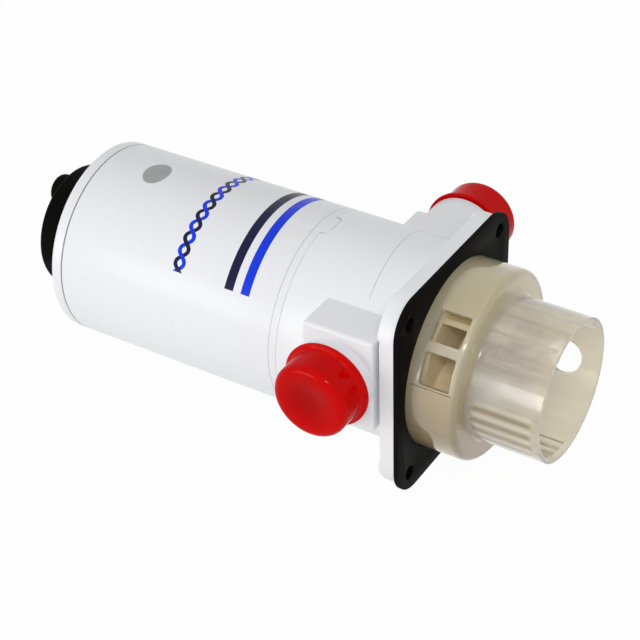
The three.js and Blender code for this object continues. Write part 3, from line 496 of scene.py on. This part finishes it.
settle(motor_sleeve, printed_white, "white_plastic", "root", "motor_sleeve")


# Port caps: red push-on caps of soft, glossy plastic over the two spigots.
# Each has a flared rim to pull on, a fillet up to its tube and a closed end with a shallow dish.
dish_middle = (-27.9, 10.5)  # millimetres ahead of the gasket's face and above the axis
dish_painted_shade_reach = 13
red_finish = Finish(bpy.data.materials.new("red_cap_plastic"))
along, side, up = red_finish.parts(red_finish.place())
# The middle of each cap's end is painted a darker red: painted shade in its dish.
reach = (((along - front.x) / mm - dish_middle[0]) ** 2 + ((up - front.z) / mm - dish_middle[1]) ** 2) ** 0.5
shade = (1.3 - reach / dish_painted_shade_reach).limited()
red_plastic = moulded(red_finish, red_finish.mix(shade, paint(208, 0, 0), paint(172, 0, 0)), 0.13,
                      {"Specular IOR Level": 0.02, "Coat Weight": 0.1, "Coat Roughness": 0.03})
cap_wall = 1.3 * mm
rim_thickness = 1.5 * mm
cap_flare = 2.2 * mm
cap_edge = 3.5 * mm
cap_end_wall = 1.6 * mm
bore_radius = 15 * mm
dish_steps = 7
dish_step = 1.6 * mm
dish_drop = 0.3 * mm
rim_reaches = {"near": 0, "far": 2.3 * mm}  # how much nearer to the block a rim stands


def ports():
    """Each port's side, its way out across the unit, its cap's box, and the axis point it starts from."""
    for side, way in (("near", -1), ("far", 1)):
        low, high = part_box("port_cap_" + side)
        yield side, way, low, high, Vector(((low.x + high.x) / 2, front.y, (low.z + high.z) / 2))


for side, way, low, high, middle in ports():
    ends = sorted(way * (place - front.y) for place in (low.y, high.y))
    ends[0] -= rim_reaches[side]
    rim_radius = (high.x - low.x) / 2
    tube_radius = bore_radius + cap_wall
    cap = Turning("red_cap_" + side, ends[0], ends[0] + rim_thickness, rim_radius, middle,
                  Vector((0, way, 0)), sides=96)
    cap.disc(ends[0] + rim_thickness).inset(rim_radius - tube_radius)
    cap.push(ends[1] - ends[0] - rim_thickness)
    cap.disc(ends[0]).inset(rim_radius - bore_radius).push(ends[1] - ends[0] - cap_end_wall)
    cap.rim(ends[0] + rim_thickness, tube_radius).round_off(cap_flare - near, 6)
    cap.rim(ends[1], tube_radius).round_off(cap_edge, 10)
    cap.disc(ends[1])
    for i in range(dish_steps):
        cap.inset(dish_step).shift(-dish_drop * sin(pi * (i + 0.5) / dish_steps))
    port_cap = cap.done()
    soften(port_cap)
    settle(port_cap, red_plastic, "red_plastic", side + "_cap", "port_cap_" + side)


# Rear cap: a white lid whose skirt fits inside the sleeve, with a collar under the boot.
# Its rim shows as a narrow band behind the sleeve, with a fine gate mark across it.
white_plastic = moulded(Finish(bpy.data.materials.new("white_moulding")), sleeve_white, 0.32)
cap_rear = -172 * mm
rim_gap = 0.5 * mm
rim_radius = half_height("rear_cap")
skirt_end = span("rear_cap")[1]
collar_rear = span("rear_cap")[0]
collar_outer = 24.8 * mm
collar_wall = 2.5 * mm
cable_hole = 14 * mm
skirt_wall = 2 * mm
gate_mark = (0.7 * mm, 0.3 * mm)
gate_length = 8 * mm
lid_edge = 0.9 * mm
pillar_radius = 3.5 * mm
lid_screw_radius = 2.2 * mm
gate_angle = 92.6


def brick(name, middle, size, rounding=0, way=0, angle=0):
    """A block, turned about the pump axis if asked, with its edges along one way rounded."""
    bpy.ops.object.select_all(action="DESELECT")
    bpy.ops.mesh.primitive_cube_add(size=1, location=middle, rotation=(radians(angle), 0, 0), scale=size)
    block = bpy.context.object
    block.name = block.data.name = name
    bpy.ops.object.transform_apply(location=False, rotation=False, scale=True)
    if rounding:
        bpy.ops.object.mode_set(mode="EDIT")
        pick("EDGE", lambda middle, edge: abs(edge.verts[0].co[way] - edge.verts[1].co[way]) > near)
        bpy.ops.mesh.bevel(offset=rounding, segments=10, affect="EDGES")
        bpy.ops.object.mode_set(mode="OBJECT")
    bpy.ops.object.transform_apply(location=True, rotation=True, scale=False)
    return block


rim_front = sleeve_rear - rim_gap
lid = Turning("rear_cap_lid", cap_rear, rim_front, rim_radius, sides=180)
lid.disc(rim_front).inset(sleeve_wall + fit).push(skirt_end - rim_front)
lid.inset(skirt_wall).push(rim_front - skirt_end)
lid.inset(rim_radius - sleeve_wall - fit - skirt_wall - cable_hole)
lid.disc(cap_rear).inset(rim_radius - collar_outer).push(collar_rear - cap_rear)
lid.inset(collar_wall).push(cap_rear - collar_rear)
lid.inset(collar_outer - collar_wall - cable_hole)
lid.rim(cap_rear, rim_radius).round_off(lid_edge, 5)
lid.open_through(cap_rear, rim_front)
rear_lid = lid.done()
for node in ("cap_screw_near", "cap_screw_far"):
    low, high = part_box(node)
    screw_middle = Vector((front.x, (low.y + high.y) / 2, (low.z + high.z) / 2))
    pillar = Turning("pillar", cap_rear + overrun, skirt_end, pillar_radius, screw_middle, sides=32).done()
    carve(rear_lid, pillar, "UNION")
    hole = Turning("hole", cap_rear - overrun, skirt_end + overrun, lid_screw_radius, screw_middle, sides=32)
    carve(rear_lid, hole.done())
gate_middle = front + Vector((cap_rear, 0, 0)) + ring_spot(rim_radius, gate_angle)
carve(rear_lid, brick("gate", gate_middle, (gate_length, 2 * gate_mark[1], gate_mark[0]),
                      angle=gate_angle))
soften(rear_lid, sleeve_edge)
settle(rear_lid, white_plastic, "white_plastic", "root", "rear_cap")


# Rear boot: a soft black rubber cup pushed over the cap's collar, with a lobe for the cable.
# The lobe is one with the cup, and the cable's bore runs through both.
boot_rear = -191.5 * mm
boot_radius = half_height("rear_boot")
boot_wall = 2.4 * mm
gland_middle = Vector((front.x, front.y - 3 * mm, front.z + 18 * mm))
gland_radius = 7.2 * mm
gland_end = span("rear_boot")[0]
gland_bore = 3.5 * mm
boot_edge = 2.5 * mm
lobe_edge = 3 * mm


def black_rubber(name, shade, roughness, gloss):
    """Black rubber: matt, with a fine grain and a slightly dusty bloom."""
    finish = Finish(bpy.data.materials.new(name))
    grain = finish.noise(1400, 3)
    bloom = finish.noise(60, 4)
    return finish.surface({
        "Base Color": finish.mix(bloom, paint(shade, shade, shade - 1),
                                 paint(shade + 8, shade + 7, shade + 5)),
        "Roughness": roughness + (bloom - 0.5) * 0.2,
        "Specular IOR Level": gloss,
        "Normal": finish.bump(grain, 0.03 * mm),
    })


rubber = black_rubber("boot_rubber", 3, 0.6, 0.03)
boot = Turning("cable_boot", boot_rear, cap_rear, boot_radius, sides=128)
boot.disc(cap_rear).inset(boot_wall).push(boot_rear + boot_wall - cap_rear)
boot.rim(boot_rear, boot_radius).round_off(boot_edge, 8)
cable_boot = boot.done()
lobe = Turning("lobe", gland_end, boot_rear + boot_wall / 2, gland_radius, gland_middle, sides=64)
lobe.rim(gland_end, gland_radius).round_off(lobe_edge, 8)
carve(cable_boot, lobe.done(), "UNION")
carve(cable_boot, Turning("bore", gland_end - overrun, boot_rear + boot_wall + overrun, gland_bore,
                          gland_middle, sides=48).done())
smooth(cable_boot, 35)
settle(cable_boot, rubber, "black_rubber", "root", "rear_boot")


# Gasket plate: a black moulded plate between the white flange and the wall that the unit bolts to.
# The macerator's ring stands through its round opening. Its collars line the four bolt holes.
gasket_corner = 14 * mm
ring_radius = 40 * mm
corner_hole_offset = 36.75 * mm
corner_hole_radius = 3.1 * mm
collar_thickness = 0.8 * mm
collar_reach = 5.5 * mm
moulded_edge = 0.25 * mm


def corner_places():
    for y in (-1, 1):
        for z in (-1, 1):
            yield front + Vector((0, y * corner_hole_offset, z * corner_hole_offset))


plate_rubber = black_rubber("plate_rubber", 8, 0.55, 0.03)
plate_rear, plate_front = span("flange_gasket")
flange_side = plate_high.z - plate_low.z
plate = brick("gasket_plate", front + Vector(((plate_rear + plate_front) / 2, 0, 0)),
              (plate_front - plate_rear, flange_side, flange_side), gasket_corner)
carve(plate, Turning("opening", plate_rear - overrun, plate_front + overrun, ring_radius + fit).done())
for middle in corner_places():
    collar_start = plate_rear - collar_reach
    carve(plate, Turning("collar", collar_start, plate_rear + collar_thickness,
                         corner_hole_radius + collar_thickness, middle, sides=48).done(), "UNION")
    carve(plate, Turning("hole", collar_start - overrun, plate_front + overrun, corner_hole_radius, middle,
                         sides=48).done())
soften(plate, moulded_edge)
settle(plate, plate_rubber, "black_rubber", "root", "flange_gasket")


# Pump housing: one white moulding with the square flange, its corner ears and the two port blocks.
# Inside it is bored for the rinse pump and cored out from the rear round the pump chamber.
flange_corner = 18 * mm
flange_rear = -8.1 * mm
ear_rear = -9.9 * mm
ear_radius = 10 * mm
ear_side = flange_side - fit
housing_wall = 3 * mm
port_bore = 11 * mm
spigot_radius = 14.7 * mm
collar_radius = 17.2 * mm
spigot_length = 13.6 * mm
block_middle = -25.7 * mm
block_width = 31.4 * mm
block_top = 30.6 * mm
block_bottom = -12.5 * mm
block_faces = (-47.8 * mm, 43 * mm)
block_edge = 1.6 * mm
ear_edge = 1.2 * mm
collar_edge = 0.8 * mm
cap_gap = 0.6 * mm
port_start = 9 * mm
port_end = 90 * mm
port_tube_radius = 14 * mm
body_start = 0.1 * mm  # how far ahead of the sleeve's end the housing starts
parting_line = (-25.9, 0.052)  # millimetres at the top, and millimetres for each degree
parting_turns = (-34, 38)
parting_width = 0.13

housing_finish = Finish(bpy.data.materials.new("white_housing"))
station, turn = round_places(housing_finish)
off_line = abs(station - parting_line[0] - turn * parting_line[1])
parting = (off_line < parting_width) * turn.between(*parting_turns)
housing_colour = housing_finish.mix(parting, sleeve_white, paint(190, 192, 195))
housing_white = moulded(housing_finish, housing_colour, 0.34, relief=0 - parting)

pump_body = Turning("pump_body", housing_rear + body_start, flange_rear + overrun, sleeve_radius,
                    sides=180).done()
soften(pump_body, moulded_edge)
carve(pump_body, brick("flange", front + Vector(((flange_rear + plate_rear) / 2, 0, 0)),
                       (plate_rear - flange_rear, flange_side, flange_side), flange_corner), "UNION")
ears = brick("ears", front + Vector(((ear_rear + flange_rear + overrun) / 2, 0, 0)),
             (flange_rear + overrun - ear_rear, ear_side, ear_side), flange_corner)
rods = None
for middle in corner_places():
    rod = Turning("rod", ear_rear - overrun, flange_rear + 2 * overrun, ear_radius, middle, sides=60).done()
    if rods:
        carve(rods, rod, "UNION")
    else:
        rods = rod
carve(ears, rods, "INTERSECT")
soften(ears, ear_edge, 5)
carve(pump_body, ears, "UNION")
block = brick("port_blocks",
              front + Vector((block_middle, sum(block_faces) / 2, (block_top + block_bottom) / 2)),
              (block_width, block_faces[1] - block_faces[0], block_top - block_bottom))
soften(block, block_edge, 6)
carve(pump_body, block, "UNION")

for side, way, low, high, middle in ports():
    collar_end = min(abs(low.y - front.y), abs(high.y - front.y)) - cap_gap - rim_reaches[side]
    along = Vector((0, way, 0))
    collar = Turning("collar", port_start + overrun, collar_end, collar_radius, middle, along, sides=96)
    collar.disc(collar_end).inset(collar_radius - spigot_radius).push(spigot_length + rim_reaches[side])
    collar.rim(collar_end, collar_radius).round_off(collar_edge, 4)
    collar.rim(collar_end + spigot_length + rim_reaches[side], spigot_radius).round_off(collar_edge, 4)
    carve(pump_body, collar.done(), "UNION")

chamber_wall = 28.5 * mm
core_front = -16 * mm
floor_rear = -46 * mm
hollow = Turning("hollow", housing_rear - overrun, core_front, sleeve_radius - housing_wall)
hollow.disc(core_front).inset(sleeve_radius - housing_wall - chamber_wall)
hollow.push(floor_rear - core_front)
carve(pump_body, hollow.done())
for side, way, low, high, middle in ports():
    along = Vector((0, way, 0))
    carve(pump_body, Turning("tube", port_start, sleeve_radius - overrun, port_tube_radius, middle, along,
                             96).done(), "UNION")
lip_seat, wheel_rear, chamber_rear = -4 * mm, -13 * mm, -41 * mm
seal_rear = floor_rear - 5 * mm
cuts = [  # the macerator's seat, the discharge wheel's room, the rinse pump's chamber and the shaft's seal
    (lip_seat, plate_rear + overrun, 43.3 * mm),
    (wheel_rear, lip_seat + overrun, 32 * mm),
    (chamber_rear, wheel_rear + overrun, 25.5 * mm),
    (seal_rear, chamber_rear + overrun, 11.3 * mm),
]
for start, end, radius in cuts:
    carve(pump_body, Turning("cut", start, end, radius).done())
for side, way, low, high, middle in ports():
    along = Vector((0, way, 0))
    carve(pump_body, Turning("bore", port_start, port_end, port_bore, middle, along, 96).done())
for middle in corner_places():
    carve(pump_body, Turning("hole", ear_rear - overrun, plate_rear + overrun,
                             corner_hole_radius + collar_thickness + fit, middle, sides=48).done())
tab_reach = tab_front - housing_rear
recess_start = housing_rear - 3 * tab_reach
recess_depth = sleeve_wall + fit
carve(pump_body, brick(
    "tab_recess",
    front + Vector(((recess_start + tab_front + fit) / 2, 0, sleeve_radius + (overrun - recess_depth) / 2)),
    (tab_front + fit - recess_start, 2 * (tab_half_width + fit), recess_depth + overrun),
    tab_reach, 2))
smooth(pump_body, 30)
settle(pump_body, housing_white, "white_plastic", "root", "pump_housing")


# Macerator housing: lip, ring and open cup in one moulding of clear, slightly cloudy amber plastic.
# Two windows open the ring, flutes line the cup and a round hole in its side lets the waste out.
lip_rear = -4 * mm
lip_radius = 43 * mm
spigot_rear, cup_front = span("macerator_housing")
plate_bore = 32 * mm
spigot_wall = 3.2 * mm
ring_front = 21 * mm
ring_wall = 2.5 * mm
ring_edge = 3 * mm
cup_radius = 30 * mm
cup_wall = 2 * mm
root_fillet = 1.6 * mm
seat_width = 6 * mm
rear_wall = 2.5 * mm
rib_count = 15
rib_first = 115
rib_pitch = 11.25
rib_radius = 1 * mm
rib_ends = (22.5 * mm, 49.5 * mm)

# Where painted shade, painted light and painted highlights lie on the plastic: degrees from the top towards
# the near port, and millimetres
underside_shade_from = 40
window_light_turns = (24, 78)
window_light_stations = (0.5, 20)
highlight_patch_turns = (50, 84)
flutes_from = 76


def clear_amber(name):
    """Cloudy amber plastic that light passes through, with grey streaks along the cup, painted shade and
    painted light on the ring, and flutes drawn as painted highlights with painted shade between.
    """
    finish = Finish(bpy.data.materials.new(name))
    station, turn = round_places(finish)
    cloud = finish.noise(35, 4)

    # The ring: painted shade darkens it towards its underside, and painted light makes it pale round the two
    # windows
    ring_colour = finish.mix(cloud, paint(242, 230, 188), paint(252, 243, 214))
    ring_colour = finish.mix(turn.ramp(underside_shade_from, 0.015), ring_colour, paint(212, 192, 156))
    window_painted_light = turn.band(*window_light_turns, 0.15) * station.band(*window_light_stations, 0.5)
    ring_colour = finish.mix(window_painted_light * 0.6, ring_colour, paint(248, 243, 228))

    # The cup: grey streaks along it, then the flutes low on its near side drawn as painted highlights with
    # painted shade between, and a rougher painted highlight patch above them
    streak = finish.noise(260, 3, (0.04, 1, 1)).ramp(0.42, 3)
    cup_colour = finish.mix(streak, paint(240, 231, 212), paint(206, 197, 186))
    body = finish.mix(station.ramp(ring_front / mm, 1), ring_colour, cup_colour)
    along_ribs = station.band(rib_ends[0] / mm, rib_ends[1] / mm, 0.5)
    wave = ((turn - (rib_first - 90)) * (2 * pi / rib_pitch) + pi / 2).sine() * 0.5 + 0.5
    flutes = finish.mix(wave, paint(164, 142, 104), paint(255, 252, 236))
    body = finish.mix(turn.ramp(flutes_from, 0.15) * along_ribs * 0.9, body, flutes)
    painted_highlight_patch = turn.band(*highlight_patch_turns, 0.08) * along_ribs * cloud
    body = finish.mix(painted_highlight_patch, body, paint(228, 226, 224))

    # The inside: plain and pale
    side, up = [part - middle for part, middle in zip(finish.parts(finish.place())[1:], front[1:])]
    inner = (side ** 2 + up ** 2) ** 0.5 < cup_radius - cup_wall / 2
    body = finish.mix(inner, body, paint(255, 247, 226))
    return finish.surface({
        "Base Color": body,
        "Roughness": 0.12 + (finish.noise(120, 3) - 0.5) * 0.08 + painted_highlight_patch * 0.2,
        "Transmission Weight": 0.62,
        "IOR": 1.5,
        "Coat Weight": 0.5,
        "Coat Roughness": 0.05,
        "Normal": finish.bump(finish.noise(500, 2), 0.01 * mm),
    })


shell = Turning("macerator_shell", plate_rear, ring_front, ring_radius, sides=192)
shell.disc(ring_front).inset(ring_radius - cup_radius).push(cup_front - ring_front)
shell.inset(cup_wall).push(ring_front - cup_front).inset(seat_width).push(-ring_wall)
seat_radius = cup_radius - cup_wall - seat_width
chamber_radius = ring_radius - ring_wall
shell.grow(chamber_radius / seat_radius).push(lip_rear + rear_wall - ring_front + ring_wall)
spigot_outer = plate_bore - fit
shell.inset(chamber_radius - spigot_outer + spigot_wall)
shell.disc(plate_rear).grow(lip_radius / ring_radius).push(lip_rear - plate_rear)
shell.inset(lip_radius - spigot_outer).push(spigot_rear - lip_rear).inset(spigot_wall)
shell.open_through(lip_rear + rear_wall, spigot_rear)
shell.rim(ring_front, ring_radius).round_off(ring_edge, 8)
shell.rim(ring_front, cup_radius).round_off(root_fillet, 5)
macerator_shell = shell.done()

windows = [(119, 138), (144, 163.5)]
window_corner = 1.2 * mm
window_start, window_end = 4.5 * mm, 17.8 * mm
for low_angle, high_angle in windows:
    width = radians(high_angle - low_angle) * ring_radius
    angle = (low_angle + high_angle) / 2
    middle = front + Vector(((window_start + window_end) / 2, 0, 0)) + ring_spot(ring_radius, angle)
    carve(macerator_shell, brick("window", middle, (window_end - window_start, 4 * ring_wall, width),
                                 window_corner, 1, angle))
slit_angle = 164.8
slit_start, slit_end = 1.2 * mm, 18.7 * mm
slit_width, slit_depth = 0.4 * mm, 1 * mm
slit_middle = front + Vector(((slit_start + slit_end) / 2, 0, 0)) + ring_spot(ring_radius, slit_angle)
carve(macerator_shell, brick("slit", slit_middle, (slit_end - slit_start, 2 * slit_depth, slit_width),
                             angle=slit_angle))

discharge_angle = -13.5
discharge_station = 36 * mm
discharge_radius = 7.5 * mm
discharge_ends = (10 * mm, 40 * mm)
carve(macerator_shell, Turning(
    "discharge", *discharge_ends, discharge_radius, front + Vector((discharge_station, 0, 0)),
    ring_spot(1, discharge_angle), 64).done())
for i in range(rib_count):
    rib_middle = front + ring_spot(cup_radius - cup_wall, rib_first + i * rib_pitch)
    carve(macerator_shell, Turning("rib", *rib_ends, rib_radius, rib_middle, sides=16).done(), "UNION")
seat_bore = 1.5 * mm
screw_boxes = [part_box(f"plate_screw_{i + 1}") for i in range(4)]
screw_middles = [Vector((front.x, (low.y + high.y) / 2, (low.z + high.z) / 2)) for low, high in screw_boxes]
for middle in screw_middles:
    carve(macerator_shell, Turning("screw_hole", ring_front - 2 * ring_wall, ring_front + overrun, seat_bore,
                                   middle, sides=24).done())
smooth(macerator_shell, 30)
settle(macerator_shell, clear_amber("cloudy_amber"), "clear_amber_plastic", "root", "macerator_housing")


# Chopper plate: a stainless disc with six round holes, screwed to the ledge behind the cup.
# The blade passes close in front of it and cuts what the holes let through.
def brushed_metal(name, colour, roughness, relief=0):
    """Machined metal: fine turning marks along the axis and a slight change of sheen."""
    finish = Finish(bpy.data.materials.new(name))
    marks = finish.noise(700, 3, (1, 0.05, 0.05))
    return finish.surface({
        "Base Color": finish.mix(finish.noise(80, 3), tuple(v * 0.85 for v in colour[:3]) + (1,), colour),
        "Metallic": 1,
        "Roughness": roughness + (marks - 0.5) * 0.25,
        "Normal": finish.bump(marks * 0.2 + relief, 0.05 * mm),
    })


ground_steel = brushed_metal("ground_steel", paint(196, 198, 202), 0.3)
plate_hole_count = 6
plate_hole_offset = 14.5 * mm
plate_hole_radius = 4.2 * mm
plate_bore_radius = 7 * mm
plate_edge = 0.15 * mm
chopper_rear, chopper_front = span("chopper_plate")
chopper_disc = Turning("chopper_disc", chopper_rear, chopper_front, half_height("chopper_plate")).done()
carve(chopper_disc, Turning("bore", chopper_rear - overrun, chopper_front + overrun,
                            plate_bore_radius).done())
for i in range(plate_hole_count):
    hole_middle = front + ring_spot(plate_hole_offset, 360 * i / plate_hole_count)
    carve(chopper_disc, Turning("hole", chopper_rear - overrun, chopper_front + overrun, plate_hole_radius,
                                hole_middle, sides=48).done())
for middle in screw_middles:
    carve(chopper_disc, Turning("hole", chopper_rear - overrun, chopper_front + overrun, seat_bore, middle,
                                sides=24).done())
soften(chopper_disc, plate_edge, 2)
settle(chopper_disc, ground_steel, "bright_steel", "root", "chopper_plate")

# Four pan head screws with a cross recess hold the plate.
head_radius = 2.1 * mm
shank_radius = 1.2 * mm
head_edge = 0.8 * mm
recess_arm, recess_width, recess_depth = 2.4 * mm, 0.55 * mm, 0.8 * mm
screw_rear, screw_front = span("plate_screw_1")
screw = Turning("plate_screw_head_1", chopper_front, screw_front, head_radius, screw_middles[0], sides=32)
screw.disc(chopper_front).inset(head_radius - shank_radius).push(screw_rear - chopper_front)
screw.rim(screw_front, head_radius).round_off(head_edge, 5)
first_screw = screw.done()
for angle in (0, 90):
    carve(first_screw, brick("cross", screw_middles[0] + Vector((screw_front, 0, 0)),
                             (2 * recess_depth, recess_arm, recess_width), angle=angle))
smooth(first_screw, 35)
for i, middle in enumerate(screw_middles):
    plate_screw = first_screw
    if i:
        bpy.ops.object.select_all(action="DESELECT")
        first_screw.select_set(True)
        bpy.context.view_layer.objects.active = first_screw
        bpy.ops.object.duplicate()
        plate_screw = bpy.context.object
        plate_screw.name = plate_screw.data.name = f"plate_screw_head_{i + 1}"
        bpy.ops.transform.translate(value=middle - screw_middles[0])
        bpy.ops.object.transform_apply(location=True, rotation=True, scale=True)
    settle(plate_screw, ground_steel, "bright_steel", "root", f"plate_screw_{i + 1}")


# Chopper blade: a steel bar with two tapered arms, each ground to an edge on its leading side.
# A washer and a hexagon nut hold it on the threaded end of the motor shaft.
blade_rear, blade_front = span("chopper_blade")
low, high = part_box("chopper_blade")
blade_length = high.y - low.y
blade_hub = (high.z - low.z) / 2
blade_tip = 5 * mm
ground_edge = 1.8 * mm
thread_radius = 4.3 * mm
steel_edge = 0.12 * mm
nut_chamfer = 0.8 * mm
split_size = (4 * mm, 8 * mm, 0.5 * mm)
split_angle = 30
blade = brick("two_arm_blade", front + Vector(((blade_rear + blade_front) / 2, 0, 0)),
              (blade_front - blade_rear, blade_length, blade_tip))
bpy.ops.object.mode_set(mode="EDIT")
bpy.ops.mesh.select_all(action="SELECT")
bpy.ops.mesh.bisect(plane_co=front, plane_no=(0, 1, 0))
pick("VERT", lambda middle, point: abs(middle.y - front.y) < near)
bpy.ops.transform.resize(value=(1, 1, 2 * blade_hub / blade_tip), center_override=front)
pick("EDGE", lambda middle, edge: middle.x > front.x + blade_front - near
     and (middle.y - front.y) * (middle.z - front.z) > near * blade_tip)
bpy.ops.mesh.bevel(offset=ground_edge, segments=1, affect="EDGES")
bpy.ops.object.mode_set(mode="OBJECT")
carve(blade, Turning("hub", blade_rear, blade_front, blade_hub, sides=64).done(), "UNION")
carve(blade, Turning("bore", blade_rear - overrun, blade_front + overrun, thread_radius, sides=48).done())
soften(blade, steel_edge, 2)
settle(blade, ground_steel, "bright_steel", "rotor", "chopper_blade")

washer_rear, washer_front = span("lock_washer")
washer_radius = half_height("lock_washer")
zinc = brushed_metal("zinc_steel", paint(190, 192, 196), 0.32)
washer = Turning("split_washer", washer_rear, washer_front, washer_radius, sides=64).done()
carve(washer, Turning("bore", washer_rear - overrun, washer_front + overrun, thread_radius, sides=48).done())
carve(washer, brick("split", front + Vector((washer_rear, 0, 0)) + ring_spot(washer_radius, split_angle),
                    split_size, angle=split_angle))
soften(washer, steel_edge, 2)
settle(washer, zinc, "zinc_steel", "rotor", "lock_washer")

nut_rear, nut_front = span("blade_nut")
nut_radius = half_height("blade_nut")
nut = Turning("hexagon_nut", nut_rear, nut_front, nut_radius, sides=6).done()
chamfer = Turning("chamfer", nut_rear, nut_front, nut_radius, sides=96)
for end in (nut_rear, nut_front):
    chamfer.rim(end, nut_radius).round_off(nut_chamfer, 1)
carve(nut, chamfer.done(), "INTERSECT")
carve(nut, Turning("bore", nut_rear - overrun, nut_front + overrun, thread_radius, sides=48).done())
soften(nut, steel_edge, 2)
settle(nut, zinc, "zinc_steel", "rotor", "blade_nut")


# Brush springs: an open coil of steel wire behind each brush, held by the end of its holder.
spring_radius = 2.4 * mm
wire_radius = 0.4 * mm
spring_turns = 4
spring_turn_steps = 24
coil_steps = spring_turns * spring_turn_steps
wire_sides = 12
for side, way in (("near", -1), ("far", 1)):
    low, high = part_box("brush_spring_" + side)
    inner_end, outer_end = sorted((low.y, high.y), key=lambda place: way * place)
    coil_middle = Vector(((low.x + high.x) / 2, 0, (low.z + high.z) / 2))
    coil_length = high.y - low.y
    bpy.ops.object.select_all(action="DESELECT")
    bpy.ops.mesh.primitive_circle_add(
        vertices=wire_sides, radius=wire_radius, location=(spring_radius - wire_radius, 0, wire_radius),
        rotation=(pi / 2, 0, 0))
    coil = bpy.context.object
    coil.name = coil.data.name = "coil_spring_" + side
    bpy.ops.object.transform_apply(location=True, rotation=True, scale=True)
    apply(coil, "SCREW", angle=2 * pi * spring_turns, screw_offset=coil_length - 2 * wire_radius,
          steps=coil_steps, render_steps=coil_steps)
    bpy.ops.object.mode_set(mode="EDIT")
    bpy.ops.mesh.select_mode(type="EDGE")
    bpy.ops.mesh.select_all(action="DESELECT")
    bpy.ops.mesh.select_non_manifold()
    bpy.ops.mesh.fill_holes(sides=0)
    bpy.ops.mesh.select_all(action="SELECT")
    bpy.ops.mesh.normals_make_consistent(inside=False)
    bpy.ops.object.mode_set(mode="OBJECT")
    coil.rotation_euler = (-way * pi / 2, 0, 0)
    coil.location = coil_middle + Vector((0, inner_end, 0))
    bpy.ops.object.transform_apply(location=True, rotation=True, scale=True)
    smooth(coil)
    settle(coil, zinc, "zinc_steel", "root", "brush_spring_" + side)
    side + "_brush_lift"
    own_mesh(coil)


# Pieces that keep their solids: the motor's inside, the seals and the discharge wheel.
# They are cast, stamped, wound and pressed parts that nobody sees until the unit is opened.
thread_pitch = 1.25
shaft_steel = Finish(bpy.data.materials.new("ground_shaft"))
station, turn = round_places(shaft_steel)
thread = ((station / thread_pitch + turn / 360) * (2 * pi)).sine() * (station > nut_rear / mm)
marks = shaft_steel.noise(700, 3, (1, 0.05, 0.05))
shaft_steel.surface({
    "Base Color": shaft_steel.mix(shaft_steel.noise(80, 3), paint(180, 181, 184), paint(206, 208, 211)),
    "Metallic": 1,
    "Roughness": 0.22 + marks * 0.15,
    "Normal": shaft_steel.bump(marks * 0.05 + thread * 2, 0.1 * mm),
})

copper_wire = Finish(bpy.data.materials.new("enamelled_wire"))
station, turn = round_places(copper_wire)
# One wave gives the strands their relief and paints them darker in the grooves between wires, as painted
# shade.
strands = (turn * (2 * pi / 2.4) + station * 1.6).sine()
copper_wire.surface({
    "Base Color": copper_wire.mix(strands * 0.5 + 0.5, paint(120, 62, 30), paint(196, 116, 62)),
    "Metallic": 0.8,
    "Roughness": 0.34 + (copper_wire.noise(300, 3) - 0.5) * 0.15,
    "Normal": copper_wire.bump(strands, 0.2 * mm),
})

bright = brushed_metal("bright_steel", paint(206, 208, 211), 0.24)
core_iron = brushed_metal("core_iron", paint(120, 120, 124), 0.45)
aluminium = brushed_metal("cast_aluminium", paint(176, 178, 180), 0.5)
copper = brushed_metal("copper_bars", paint(196, 120, 68), 0.35)
ferrite = black_rubber("ferrite", 48, 0.7, 0.4)
carbon = black_rubber("carbon", 36, 0.6, 0.4)
board = moulded(Finish(bpy.data.materials.new("brown_board")), paint(128, 82, 40), 0.55)
black_plastic = moulded(Finish(bpy.data.materials.new("black_moulding")), paint(30, 30, 32), 0.4)
tan_plastic = moulded(Finish(bpy.data.materials.new("tan_moulding")), paint(228, 212, 178), 0.4)

kept_nodes = {
    bright: ("rear_bearing", "front_bearing", "impeller_pin", "wear_plate", "impeller_key"),
    shaft_steel.owner: ("motor_shaft",),
    zinc: ("cap_screw_near", "cap_screw_far", "motor_can", "through_bolt_upper", "through_bolt_lower"),
    core_iron: ("armature_core",),
    aluminium: ("rear_end_bell", "front_end_bell"),
    copper_wire.owner: ("winding_rear", "winding_front"),
    copper: ("commutator",),
    ferrite: ("magnet_near", "magnet_far"),
    carbon: ("brush_near", "brush_far"),
    board: ("brush_holder_plate", "pump_cam"),
    rubber: ("slinger", "rear_shaft_seal", "front_shaft_seal", "flexible_impeller", "body_o_ring"),
    black_plastic: ("seal_plate",),
    tan_plastic: ("centrifugal_impeller",),
}
for finish, names in kept_nodes.items():
    for name in names:
        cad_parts[name].data.materials.clear()
        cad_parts[name].data.materials.append(finish)
